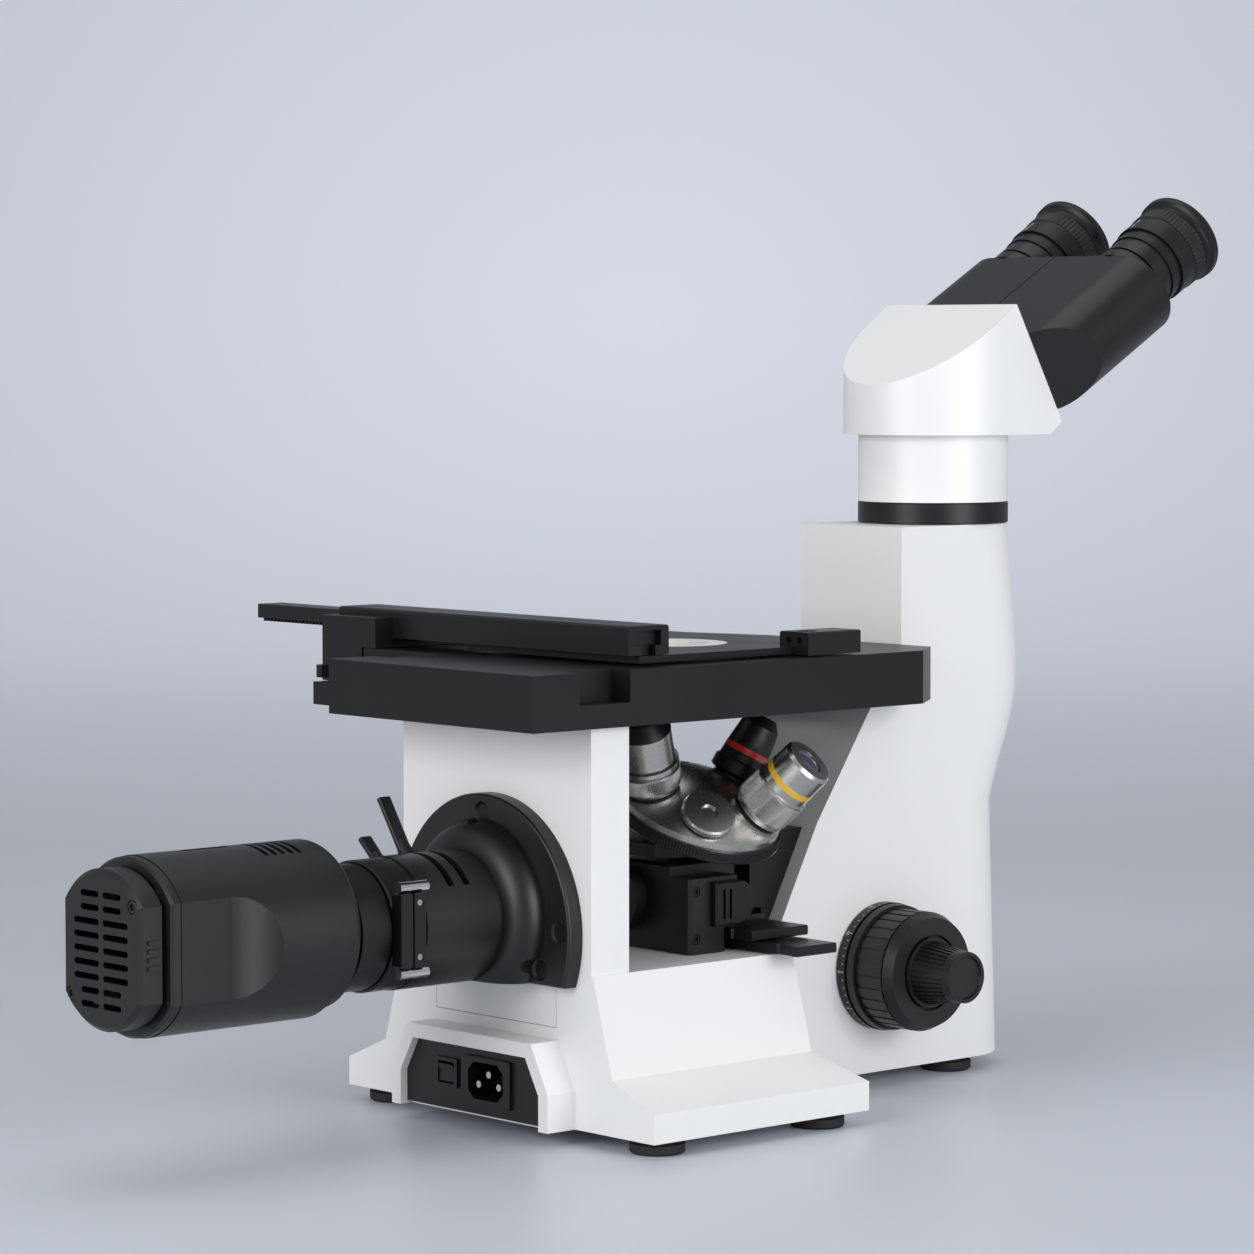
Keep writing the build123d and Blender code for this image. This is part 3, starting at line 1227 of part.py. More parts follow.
with BuildPart() as plate_insert:
    with BuildSketch(Plane.XY.offset(plate_z)):
        Circle(opening_r)
        Circle(insert_r, mode=Mode.SUBTRACT)
    extrude(amount=plate_h)
    with BuildSketch(Plane.XY.offset(plate_z + plate_h - 1.4)):
        Circle(insert_flange_r)
        Circle(insert_r, mode=Mode.SUBTRACT)
    extrude(amount=1.4)
plate_insert.part.label = "plate_insert"
export_step(plate_insert.part, "parts/plate_insert.step")

with BuildPart() as guide_block:
    with BuildSketch(Plane.XY.offset(plate_z + plate_h)):
        with Locations((guide_block_x + guide_block_w / 2, guide_block_y + guide_block_d / 2)):
            Rectangle(guide_block_w, guide_block_d)
    extrude(amount=guide_block_top_z - plate_z - plate_h)
    with BuildSketch(Plane.XY.offset(guide_block_z)):
        with Locations(((guide_block_x - plate_half_x) / 2 - fit_gap, guide_block_y + guide_block_d / 2)):
            Rectangle(-plate_half_x - guide_block_x - 2 * fit_gap, guide_block_d)
    extrude(amount=plate_z + plate_h - guide_block_z + 0.5)
    chamfer(guide_block.edges().filter_by(Axis.Y).group_by(Axis.Z)[-1], 0.8)
    with BuildSketch(Plane.XY.offset(guide_block_top_z)):
        with Locations((guide_block_x + guide_block_w / 2, guide_block_y + guide_block_d - 8)):
            Circle(5.0)
    extrude(amount=-1.0, mode=Mode.SUBTRACT)
    with Locations(Plane(origin=(0, guide_block_y + guide_block_d, 0), x_dir=(-1, 0, 0), z_dir=(0, 1, 0))):
        with Locations((-guide_block_x - 6, 220.6), (-guide_block_x - 13, 220.6)):
            Hole(1.4, 8)
guide_block.part.label = "guide_block"
export_step(guide_block.part, "parts/guide_block.step")

# Coaxial stage drive below the carriage: the upper knob moves the carriage, the lower one the rack
with BuildPart() as stage_y_knob:
    with BuildSketch(Plane.XY.offset(drive_mid_z + face_gap)):
        with Locations((drive_x, drive_y)):
            Circle(drive_r)
            Circle(drive_shaft_r + run_gap, mode=Mode.SUBTRACT)
    extrude(amount=drive_top_z - drive_mid_z - face_gap)
    with BuildSketch(Plane.XY.offset(drive_top_z)):
        with Locations((drive_x, drive_y)):
            Circle(drive_tube_r)
            Circle(drive_shaft_r + run_gap, mode=Mode.SUBTRACT)
    extrude(amount=carriage_low_z + 10 - drive_top_z)
stage_y_knob.part.label = "stage_y_knob"
export_step(stage_y_knob.part, "parts/stage_y_knob.step")

with BuildPart() as stage_x_knob:
    with BuildSketch(Plane.XY.offset(drive_low_z)):
        with Locations((drive_x, drive_y)):
            Circle(drive_small_r)
    extrude(amount=drive_mid_z - drive_low_z)
    with BuildSketch(Plane.XY.offset(drive_mid_z)):
        with Locations((drive_x, drive_y)):
            Circle(drive_shaft_r)
    extrude(amount=carriage_low_z + 9 - drive_mid_z)
stage_x_knob.part.label = "stage_x_knob"
export_step(stage_x_knob.part, "parts/stage_x_knob.step")

# Head: dark ring, neck and the inclined housing
with BuildPart() as head_ring:
    with BuildSketch(Plane.XY.offset(arm_top_z)):
        with Locations((0, head_y)):
            Circle(head_ring_r)
    extrude(amount=head_ring_h)
    chamfer(head_ring.edges(), 0.6)
    with BuildSketch(Plane.XY.offset(arm_top_z)):
        with Locations((0, head_y)):
            Circle(light_tube_r)
    extrude(amount=-8)
    with BuildSketch(Plane.XY.offset(arm_top_z - 8)):
        with Locations((0, head_y)):
            Circle(light_tube_r - 4)
    extrude(amount=head_ring_h + 8, mode=Mode.SUBTRACT)
head_ring.part.label = "head_ring"
export_step(head_ring.part, "parts/head_ring.step")

neck_z = arm_top_z + head_ring_h
with BuildPart() as head_neck:
    with BuildSketch(Plane.XY.offset(neck_z)):
        with Locations((0, head_y)):
            Circle(neck_tube_r)
            Circle(light_tube_r - 4, mode=Mode.SUBTRACT)
    extrude(amount=head_low_z - neck_z)
head_neck.part.label = "head_neck"
export_step(head_neck.part, "parts/head_neck.step")

eye_lean = math.radians(eye_tilt)
eye_axis = (0, -math.cos(eye_lean), math.sin(eye_lean))
eye_up = (0, math.sin(eye_lean), math.cos(eye_lean))
eye_plane = Plane(origin=(0, hinge_y, hinge_z), x_dir=(1, 0, 0), z_dir=eye_axis)
with BuildPart() as head_housing:
    with BuildSketch(Plane.YZ.offset(-head_half)):
        with BuildLine():
            Polyline((head_y + head_half, head_low_z), (head_y + head_half, head_back_z), (ridge_y, ridge_z),
                     (head_nose_y, head_nose_z), (head_chin_y, head_low_z), close=True)
        make_face()
    extrude(amount=2 * head_half)
    with BuildSketch(Plane.XY.offset(head_low_z)):
        with Locations((0, head_y)):
            Circle(head_half)
        with Locations((0, head_y - head_half)):
            Rectangle(2 * head_half, 2 * head_half)
    extrude(amount=ridge_z - head_low_z + 1, mode=Mode.INTERSECT)
    with BuildSketch(Plane.XY.offset(head_low_z)):
        with Locations((0, head_y)):
            Circle(light_tube_r - 4)
    extrude(amount=20, mode=Mode.SUBTRACT)
    with BuildSketch(eye_plane.offset(1)):
        with Locations((0, hinge_drop)):
            Circle(hinge_pin_r + fit_gap)
    extrude(amount=-15, mode=Mode.SUBTRACT)
head_housing.part.label = "head_housing"
export_step(head_housing.part, "parts/head_housing.step")

# Binocular: two bodies that fold about the hinge pin on the head's front face
fold = math.radians(fold_angle + 3)
round_y = body_top - body_round_r

with BuildPart() as hinge_pin:
    with BuildSketch(eye_plane.offset(-14)):
        with Locations((0, hinge_drop)):
            Circle(hinge_pin_r)
    extrude(amount=hinge_len - 6 + 14)
    with BuildSketch(eye_plane.offset(body_len + 2 * face_gap)):
        with Locations((0, hinge_drop)):
            Circle(hinge_cap_r)
    extrude(amount=hinge_len - body_len - 2 * face_gap)
    chamfer(hinge_pin.edges().group_by(Axis(eye_plane.origin, eye_plane.z_dir))[-1], 0.8)
hinge_pin.part.label = "hinge_pin"
export_step(hinge_pin.part, "parts/hinge_pin.step")

knuckle_len = body_len / 4
for side, side_name in ((-1, "left"), (1, "right")):
    own_first = 0 if side < 0 else 1
    with BuildPart() as half:
        with BuildSketch(eye_plane.offset(face_gap)):
            with BuildLine():
                Polyline((side * face_gap, body_top), (side * (body_half - body_round_r), body_top))
                ThreePointArc((side * (body_half - body_round_r), body_top), (side * body_half, round_y),
                              (side * (body_half - body_round_r), round_y - body_round_r))
                Polyline((side * (body_half - body_round_r), round_y - body_round_r),
                         (side * math.tan(fold) * (hinge_drop - round_y + body_round_r),
                          round_y - body_round_r), (side * face_gap, hinge_drop), (side * face_gap, body_top))
            make_face()
        extrude(amount=body_len - face_gap)
        # the outer corner next to the head is cut off at 45 degrees
        with BuildSketch(Plane(origin=eye_plane.origin, x_dir=(1, 0, 0), z_dir=eye_up)):
            with BuildLine():
                Polyline((side * body_cut, 0), (side * (body_half + 2), 0),
                         (side * (body_half + 2), -(body_half + 2 - body_cut)), close=True)
            make_face()
        extrude(amount=60, both=True, mode=Mode.SUBTRACT)
        with BuildSketch(eye_plane.offset(face_gap)):
            with Locations((0, hinge_drop)):
                Circle(barrel_r + face_gap)
        extrude(amount=body_len, mode=Mode.SUBTRACT)
        for knuckle in range(own_first, 4, 2):
            with BuildSketch(eye_plane.offset(knuckle * knuckle_len + face_gap)):
                with Locations((0, hinge_drop)):
                    Circle(barrel_r)
                with Locations((side * (barrel_r + 1), hinge_drop + 1)):
                    Rectangle(2 * 8, 6)
            extrude(amount=knuckle_len - face_gap)
        with BuildSketch(eye_plane):
            with Locations((0, hinge_drop)):
                Circle(hinge_pin_r + run_gap)
        extrude(amount=body_len + 1, mode=Mode.SUBTRACT)
        with BuildSketch(eye_plane.offset(body_len)):
            with Locations((side * eye_half, hinge_drop)):
                Circle(tube_outer_r)
        extrude(amount=eye_tube_end - body_len)
        with BuildSketch(eye_plane.offset(body_len + 6)):
            with Locations((side * eye_half, hinge_drop)):
                Circle(tube_outer_r + 1)
                Circle(tube_outer_r - 1.0, mode=Mode.SUBTRACT)
        extrude(amount=1.6, mode=Mode.SUBTRACT)
        with BuildSketch(eye_plane.offset(eye_tube_end)):
            with Locations((side * eye_half, hinge_drop)):
                Circle(tube_inner_r + fit_gap)
        extrude(amount=-24, mode=Mode.SUBTRACT)
    half.part.label = f"binocular_{side_name}"
    export_step(half.part, f"parts/binocular_{side_name}.step")

    eye_centre = eye_plane.from_local_coords((side * eye_half, hinge_drop, 0))
    with BuildPart() as eyepiece:
        with BuildSketch(Plane(origin=eye_centre, x_dir=eye_up, z_dir=(1, 0, 0))):
            with BuildLine():
                Polyline((0, 72), (tube_inner_r, 72), (tube_inner_r, eye_tube_end),
                         (eye_flange_r, eye_tube_end), (eye_flange_r, eye_ring_t - face_gap),
                         (eye_core_r, eye_ring_t - face_gap), (eye_core_r, eye_ring_end + face_gap),
                         (eye_ring_r, eye_ring_end + face_gap), (eye_ring_r, cup_t - 1), (cup_r - 1.4, cup_t),
                         (cup_r, cup_t + 1), (cup_r, cup_end - 1.2), (cup_r - 1.2, cup_end),
                         (cup_bore_r + 2, cup_end), (cup_bore_r, cup_end - 6),
                         (0, cup_end - 7.5), close=True)
            make_face()
        revolve(axis=Axis(eye_centre, eye_axis))
    eyepiece.part.label = f"eyepiece_{side_name}"
    export_step(eyepiece.part, f"parts/eyepiece_{side_name}.step")

    with BuildPart() as diopter:
        with BuildSketch(eye_plane.offset(eye_ring_t)):
            with Locations((side * eye_half, hinge_drop)):
                Circle(eye_ring_r)
                Circle(eye_core_r + run_gap, mode=Mode.SUBTRACT)
        extrude(amount=eye_ring_end - eye_ring_t)
    diopter.part.label = f"diopter_{side_name}"
    export_step(diopter.part, f"parts/diopter_{side_name}.step")
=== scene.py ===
import json
import math

import bmesh
import bpy
import numpy as np
from mathutils import Matrix, Vector


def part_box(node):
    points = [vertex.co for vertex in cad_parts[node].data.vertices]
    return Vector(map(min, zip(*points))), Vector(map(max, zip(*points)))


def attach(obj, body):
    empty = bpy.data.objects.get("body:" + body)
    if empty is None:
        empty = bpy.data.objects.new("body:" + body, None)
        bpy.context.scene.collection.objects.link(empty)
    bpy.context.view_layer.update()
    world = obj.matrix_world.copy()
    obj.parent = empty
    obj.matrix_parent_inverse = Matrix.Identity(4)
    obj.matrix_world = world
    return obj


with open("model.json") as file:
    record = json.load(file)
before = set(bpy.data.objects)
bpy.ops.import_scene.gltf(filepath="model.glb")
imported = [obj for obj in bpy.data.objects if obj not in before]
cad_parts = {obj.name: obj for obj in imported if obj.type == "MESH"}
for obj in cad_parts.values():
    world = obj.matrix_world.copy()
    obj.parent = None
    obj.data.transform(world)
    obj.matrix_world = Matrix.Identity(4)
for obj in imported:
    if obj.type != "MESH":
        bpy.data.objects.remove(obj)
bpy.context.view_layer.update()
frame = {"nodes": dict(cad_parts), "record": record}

# Inverted microscope: finishes for the CAD pieces, and the knurling, bands, scales, lenses
# and screws that lie on them. +Z up, the user at -Y, the lamp housing at +Y. The scene is in
# metres, and MM turns the sizes below, which are in millimetres, to metres.

MM = 0.001
nodes = frame["nodes"]
record = frame["record"]
joints = {j["name"]: j for j in record["behaviour"]["joints"]}


# Finishes

COAT_ROUGH = 0.12            # lacquer over a colour
WEAR_MM = 45                 # width of the slow patches that handling leaves
NOISE_LOW, NOISE_HIGH = 0.6, 1.4     # the sum of two noises stays between these nearly everywhere
BUMP_STRENGTH = 0.6
GLASS_IOR = 1.52


def linear(hexa):
    """sRGB hex to linear light: the standard curve, with its straight foot below 0.04045."""
    out = []
    for k in (0, 2, 4):
        c = int(hexa.lstrip("#")[k:k + 2], 16) / 255
        out.append(c / 12.92 if c <= 0.04045 else ((c + 0.055) / 1.055) ** 2.4)
    return (*out, 1.0)


def add(tree, kind, settings=(), **links):
    """Adds one node: settings fill properties or sockets by name, and links join its sockets
    to other nodes' outputs."""
    node = tree.nodes.new(kind)
    for key, value in dict(settings).items():
        if key in node.inputs:
            node.inputs[key].default_value = value
        else:
            setattr(node, key, value)
    for key, source in links.items():
        tree.links.new(source, node.inputs[key.replace("_", " ")])
    return node


def finish(name, colour, rough, metallic=0.0, grain_mm=0.0, bump_mm=0.0, mottle=0.0, ior=None, coat=0.0):
    """A surface finish: one principled shader, with grain of a real size in its height and its roughness."""
    mat = bpy.data.materials.new(name)
    mat.use_nodes = True
    tree = mat.node_tree
    shader = tree.nodes["Principled BSDF"]
    shader.inputs["Base Color"].default_value = linear(colour)
    shader.inputs["Roughness"].default_value = rough
    shader.inputs["Metallic"].default_value = metallic
    shader.inputs["Coat Weight"].default_value = coat
    shader.inputs["Coat Roughness"].default_value = COAT_ROUGH
    if ior:
        shader.inputs["IOR"].default_value = ior
    mat.diffuse_color = linear(colour)
    if grain_mm:
        place = add(tree, "ShaderNodeTexCoord")
        fine = add(tree, "ShaderNodeTexNoise",
                   {"Scale": 1 / (grain_mm * MM), "Detail": 4.0, "Roughness": 0.6},
                   Vector=place.outputs["Object"])
        # Handled places are a little smoother, so a slow wave lies on top of the grain
        wear = add(tree, "ShaderNodeTexNoise", {"Scale": 1 / (WEAR_MM * MM), "Detail": 3.0},
                   Vector=place.outputs["Object"])
        both = add(tree, "ShaderNodeMath", {"operation": "ADD"})
        tree.links.new(fine.outputs["Fac"], both.inputs[0])
        tree.links.new(wear.outputs["Fac"], both.inputs[1])
        gloss = add(tree, "ShaderNodeMapRange",
                    {"From Min": NOISE_LOW, "From Max": NOISE_HIGH,
                     "To Min": rough - mottle, "To Max": rough + mottle}, Value=both.outputs["Value"])
        tree.links.new(gloss.outputs["Result"], shader.inputs["Roughness"])
        height = add(tree, "ShaderNodeBump", {"Strength": BUMP_STRENGTH, "Distance": bump_mm * MM},
                     Height=fine.outputs["Fac"])
        tree.links.new(height.outputs["Normal"], shader.inputs["Normal"])
    return mat


# White polyester powder coat on the castings: a faint orange peel about 2 mm wide under a soft gloss
powder_white = finish("powder_coat_white", "#E9EAEA", 0.36, grain_mm=2.2, bump_mm=0.02, mottle=0.04, ior=1.5)
# Black powder coat with a fine texture: 0.7 mm grain breaks up the highlights of the lamp housing
powder_black = finish("powder_coat_black", "#0E0F10", 0.4, grain_mm=0.7, bump_mm=0.05, mottle=0.06, ior=1.5)
# Semi-gloss black enamel of the binocular body: smoother than the powder coat
enamel_black = finish("enamel_black", "#0B0C0C", 0.36, grain_mm=1.6, bump_mm=0.012, mottle=0.04, ior=1.5)
# Black anodised aluminium, glass-bead blasted: a dull, faintly metallic black with 0.5 mm tooth
anodised_black = finish("anodised_black", "#151617", 0.38, metallic=0.3, grain_mm=0.5, bump_mm=0.012,
                        mottle=0.05)
# Moulded ABS in black: grain of spark-eroded tooling, 0.8 mm so that it shows
abs_black = finish("abs_black", "#090A0A", 0.44, grain_mm=0.8, bump_mm=0.03, mottle=0.05, ior=1.53)
# Satin chrome on turned brass: its fine tooth softens the reflections
satin_chrome = finish("satin_chrome", "#B9B8B5", 0.27, metallic=1.0, grain_mm=0.5, bump_mm=0.004,
                      mottle=0.05)
# Bright turned steel of pins and screws: nearly a mirror
bright_steel = finish("bright_steel", "#CFD0D2", 0.18, metallic=1.0, grain_mm=0.4, bump_mm=0.003,
                      mottle=0.03)
# Zinc plated sheet: greyer and mottled
zinc_steel = finish("zinc_plated_steel", "#A5A8AB", 0.38, metallic=1.0, grain_mm=1.2, bump_mm=0.006,
                    mottle=0.08)
# Nitrile rubber of the feet: dull, slightly brown black
foot_rubber = finish("nitrile_rubber", "#151414", 0.72, grain_mm=0.9, bump_mm=0.03, mottle=0.05, ior=1.52)
# White acetal insert in the specimen plate: waxy, a little warm
acetal_white = finish("acetal_white", "#EFEEE9", 0.34, grain_mm=1.4, bump_mm=0.005, mottle=0.03, ior=1.48)
# White paint that fills the engraved scales: flat and even
paint_white = finish("engraving_white", "#D9D9D6", 0.5, ior=1.5)
# Colour bands that code the magnification: fired lacquer, glossy
band_yellow = finish("lacquer_yellow", "#E2B22A", 0.28, grain_mm=1.5, bump_mm=0.004, mottle=0.03, ior=1.5,
                     coat=0.3)
band_red = finish("lacquer_red", "#B3262B", 0.28, grain_mm=1.5, bump_mm=0.004, mottle=0.03, ior=1.5,
                  coat=0.3)


def glass(name, colour, rough=0.02, coat=0.6):
    """Coated optical glass: clear, with the faint colour of its anti-reflection layer on top."""
    mat = bpy.data.materials.new(name)
    mat.use_nodes = True
    shader = mat.node_tree.nodes["Principled BSDF"]
    shader.inputs["Base Color"].default_value = linear(colour)
    shader.inputs["Roughness"].default_value = rough
    shader.inputs["IOR"].default_value = GLASS_IOR
    shader.inputs["Transmission Weight"].default_value = 0.92
    shader.inputs["Coat Weight"].default_value = coat
    shader.inputs["Coat Tint"].default_value = linear("#CFC6E6")
    mat.diffuse_color = linear(colour)
    return mat


# Crown glass under a thin anti-reflection layer: clear, with a violet sheen at a slant
lens_glass = glass("coated_crown_glass", "#E4ECF2")

by_slot = {"white_paint": powder_white, "black_enamel": powder_black, "black_anodised": anodised_black,
           "black_plastic": abs_black, "satin_chrome": satin_chrome, "bright_steel": bright_steel,
           "black_chrome": anodised_black, "rubber_black": foot_rubber, "white_insert": acetal_white,
           "clear_glass": lens_glass, "grey_steel": zinc_steel}
# Pieces that differ from the rest of their slot
by_node = {"binocular_left": enamel_black, "binocular_right": enamel_black, "port_plug": satin_chrome}
for part in record["subparts"]:
    piece = nodes[part["node"]]
    mat = by_node.get(part["node"], by_slot[part["material_slot"]])
    for holder in piece.material_slots:
        holder.material = mat
    if not piece.material_slots:
        piece.data.materials.append(mat)


# Surfaces worked out on grids

MERGE = 2e-6                 # metres: points nearer than this are one
CREASE = 32                  # degrees: edges sharper than this stay sharp


def piece_from(name, points, faces, mat, body):
    """Makes a mesh piece from arrays of points and faces, and lets it ride on its body."""
    mesh = bpy.data.meshes.new(name)
    mesh.from_pydata(points.reshape(-1, 3), [], faces)
    mesh.validate()
    mesh.update()
    work = bmesh.new()
    work.from_mesh(mesh)
    bmesh.ops.remove_doubles(work, verts=work.verts, dist=MERGE)
    bmesh.ops.recalc_face_normals(work, faces=work.faces)
    work.to_mesh(mesh)
    work.free()
    mesh.materials.append(mat)
    mesh.shade_smooth()
    mesh.set_sharp_from_angle(angle=math.radians(CREASE))
    obj = bpy.data.objects.new(name, mesh)
    bpy.context.scene.collection.objects.link(obj)
    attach(obj, body)
    return obj


def grid_faces(rows, columns):
    """Quads of a grid that closes on itself both ways: row i, column j to row i+1, column j+1,
    each modulo its count."""
    i, j = np.meshgrid(np.arange(rows), np.arange(columns), indexing="ij")
    i2, j2 = (i + 1) % rows, (j + 1) % columns
    corners = [i * columns + j, i2 * columns + j, i2 * columns + j2, i * columns + j2]
    return np.stack(corners, -1).reshape(-1, 4).tolist()


def axes_of(axis):
    """Two unit vectors square to the axis, and the axis itself, as rows. The first one is
    axis x up, or axis x X where the axis is nearly upright."""
    axis = np.array(axis, float) / np.linalg.norm(axis)
    side = np.cross(axis, (0, 0, 1) if abs(axis[2]) < 0.9 else (1, 0, 0))
    side /= np.linalg.norm(side)
    return np.array([side, np.cross(axis, side), axis])


def turned(name, centre, axis, loop, mat, body, around=96, wave=0.0, count=0, wall=0.05):
    """A turned ring or button: a loop of (radius, height) in mm carried round the axis.
    Where wave > 0 it also cuts count knurls or ribs into the outer wall, which are the points
    within wall of the largest radius: radius(a, k) = r[k] - wave * w[k] * (0.5 + 0.5 cos(count a)),
    and w[k] is 1 on the outer wall, else 0."""
    side, up, along = axes_of(axis)
    loop = np.array(loop, float)
    angle = np.linspace(0, 2 * math.pi, around, endpoint=False)
    swing = 0.5 + 0.5 * np.cos(count * angle)
    outer = (loop[:, 0] > loop[:, 0].max() - wall).astype(float)
    radius = (loop[None, :, 0] - wave * outer[None] * swing[:, None]) * MM
    height = np.broadcast_to(loop[None, :, 1] * MM, radius.shape)
    points = (np.array(centre) + radius[..., None] * (np.cos(angle)[:, None, None] * side
              + np.sin(angle)[:, None, None] * up) + height[..., None] * along)
    return piece_from(name, points, grid_faces(around, len(loop)), mat, body)


def band(r_in, r_out, low, high, edge=0.15):
    """Closed loop of a flat ring's section, with its outer corners taken off by edge."""
    return [(r_in, low), (r_out - edge, low), (r_out, low + edge), (r_out, high - edge),
            (r_out - edge, high), (r_in, high)]


def button(radius, low, high, crown=0.0):
    """Closed loop of a disc's section from the axis out: flat below, and on top a dome whose
    height is high + crown * (1 - s * s) at the share s of the radius."""
    shares = np.linspace(1, 0, 9)
    top = [(radius * s, high + crown * (1 - s * s)) for s in shares]
    return [(0.0, low), (radius, low)] + top


# Turret and objectives
turret_joint = joints["turret_turn"]
turret_centre = np.array(turret_joint["pos_m"])
turret_axis = np.array(turret_joint["axis"])
port_mount = next(m for m in record["mounts"] if m["name"] == "port")
SHOULDER = 5                 # the port's shoulder lies this far above the port's own mount
PORT_STEP = 72               # degrees between the five ports
port_place = np.array(port_mount["pos_m"]) + np.array((0, 0, SHOULDER * MM))


def at_port(angle):
    """Place and direction of the port that stands at this angle in degrees: the working port
    turned about the turret's axis."""
    turn = Matrix.Rotation(math.radians(angle), 3, Vector(turret_axis))
    place = turret_centre + np.array(turn @ Vector(port_place - turret_centre))
    return place, np.array(turn @ Vector((0, 0, 1)))


silver_place, silver_axis = at_port(1 * PORT_STEP)
yellow_place, yellow_axis = at_port(3 * PORT_STEP)
red_place, red_axis = at_port(4 * PORT_STEP)

# Knurled grip of the silver objective, and its black end with the front lens. Heights run
# from the port's shoulder.
FRONT_LENS_R = 6.6
FRONT_LENS_CROWN = 0.9
turned("silver_knurl", silver_place, silver_axis,
       band(r_in=14.3, r_out=14.95, low=2.6, high=10.0, edge=0.2), satin_chrome, "turret",
       around=480, wave=0.35, count=120)
END_LOW, END_HIGH = 30.2, 36.8
turned("silver_black_end", silver_place, silver_axis,
       [(12.4, END_LOW), (13.05, END_LOW), (13.05, 30.8), (8.8, END_HIGH), (7.0, END_HIGH), (7.0, 36.4),
        (8.2, 36.4), (12.2, 30.6)], anodised_black, "turret")
turned("silver_lens", silver_place, silver_axis,
       button(FRONT_LENS_R, low=35.0, high=35.6, crown=FRONT_LENS_CROWN), lens_glass, "turret",
       around=64)

# Yellow band, knurl and lens of the second objective
turned("yellow_knurl", yellow_place, yellow_axis,
       band(r_in=13.7, r_out=14.3, low=3.2, high=16.6, edge=0.2), satin_chrome, "turret",
       around=480, wave=0.35, count=116)
turned("yellow_band", yellow_place, yellow_axis,
       band(r_in=12.4, r_out=13.05, low=21.5, high=24.6, edge=0.1), band_yellow, "turret")
turned("yellow_lens", yellow_place, yellow_axis,
       button(FRONT_LENS_R, low=34.4, high=35.0, crown=FRONT_LENS_CROWN), lens_glass, "turret",
       around=64)

# Red band round the short black objective, whose barrel tapers, and its small lens
RED_LOW, RED_HIGH = 12.0, 15.0
RED_INNER_R = 10.2
turned("red_band", red_place, red_axis,
       [(RED_INNER_R, RED_LOW), (11.2, RED_LOW), (10.95, RED_HIGH), (RED_INNER_R, RED_HIGH)],
       band_red, "turret")
turned("red_lens", red_place, red_axis, button(3.9, low=30.7, high=31.2, crown=0.5), lens_glass, "turret",
       around=48)

# Fine axial knurls round the turret's grip, and the bright bevel at its lower edge
GRIP_R = 41.2
turned("grip_knurl", turret_centre, turret_axis,
       band(r_in=40.9, r_out=GRIP_R + 0.35, low=-8.2, high=-4.2, edge=0.2), anodised_black, "turret",
       around=720, wave=0.3, count=180)
turned("grip_bright_edge", turret_centre, turret_axis,
       [(39.6, -9.1), (41.0, -9.1), (41.5, -8.5), (41.0, -8.3)], bright_steel, "turret",
       around=160)


# Scales and numerals

INK = 0.04                   # half the thickness of a mark or numeral
FONT_SIZE = 1.35             # the font's size over the height of its figures


def letters(text, high):
    """Outline of plain numerals as points (x, y, depth) in mm about their middle, and its faces."""
    curve = bpy.data.curves.new("numeral", "FONT")
    curve.body = text
    curve.size = high * FONT_SIZE
    curve.align_x = "CENTER"
    curve.align_y = "CENTER"
    curve.extrude = INK
    curve.resolution_u = 3
    obj = bpy.data.objects.new("numeral", curve)
    bpy.context.scene.collection.objects.link(obj)
    mesh = obj.to_mesh()
    points = np.empty(len(mesh.vertices) * 3)
    mesh.vertices.foreach_get("co", points)
    faces = [tuple(f.vertices) for f in mesh.polygons]
    obj.to_mesh_clear()
    bpy.data.objects.remove(obj)
    bpy.data.curves.remove(curve)
    return points.reshape(-1, 3), faces


def tick(wide, high):
    """A scale mark: a thin upright box of that width and height in mm, about its middle."""
    x, y, z = wide / 2, high / 2, INK
    points = np.array([(sx * x, sy * y, sz * z) for sx in (-1, 1) for sy in (-1, 1) for sz in (-1, 1)])
    return points, [(0, 1, 3, 2), (4, 6, 7, 5), (0, 4, 5, 1), (2, 3, 7, 6), (0, 2, 6, 4), (1, 5, 7, 3)]


def wrap(name, marks, centre, axis, radius, low, mat, body):
    """Marks laid on a turned surface: x runs round it, y along it and depth out of it. With a the
    mark's angle, point = centre + (radius + depth)(cos(a + x / radius), sin(a + x / radius))
    + (low + y) axis."""
    side, up, along = axes_of(axis)
    all_points, all_faces, base = [], [], 0
    for angle, (points, faces) in marks:
        x, y, depth = points.T
        turn = math.radians(angle) + x / radius
        out = (radius + depth) * MM
        place = (np.array(centre) + out[:, None] * (np.cos(turn)[:, None] * side + np.sin(turn)[:, None] * up)
                 + ((low + y) * MM)[:, None] * along)
        all_points.append(place)
        all_faces += [tuple(int(v) + base for v in f) for f in faces]
        base += len(points)
    return piece_from(name, np.concatenate(all_points), all_faces, mat, body)


# Dials of the two coarse knobs: fifty divisions, every fifth one long and numbered
DIAL_R = 30.82
DIAL_MARKS, DIAL_NUMERALS = 39.0, 36.8      # how far out along the axis their middles lie
DIVISIONS = 50
PER_NUMERAL = 5
LONG_MARK, SHORT_MARK = 2.0, 1.1
knob_centre = np.array(joints["coarse_turn"]["pos_m"])
for side, hand in ((-1, "near"), (1, "far")):
    axis = (side, 0, 0)
    marks = [(360 / DIVISIONS * k, tick(0.3, LONG_MARK if k % PER_NUMERAL == 0 else SHORT_MARK))
             for k in range(DIVISIONS)]
    wrap(f"dial_marks_{hand}", marks, knob_centre, axis, DIAL_R, DIAL_MARKS, paint_white, "coarse_drive")
    numerals = [(36 * k, letters(str(PER_NUMERAL * k), 1.9)) for k in range(DIVISIONS // PER_NUMERAL)]
    wrap(f"dial_numerals_{hand}", numerals, knob_centre, axis, DIAL_R, DIAL_NUMERALS, paint_white,
         "coarse_drive")

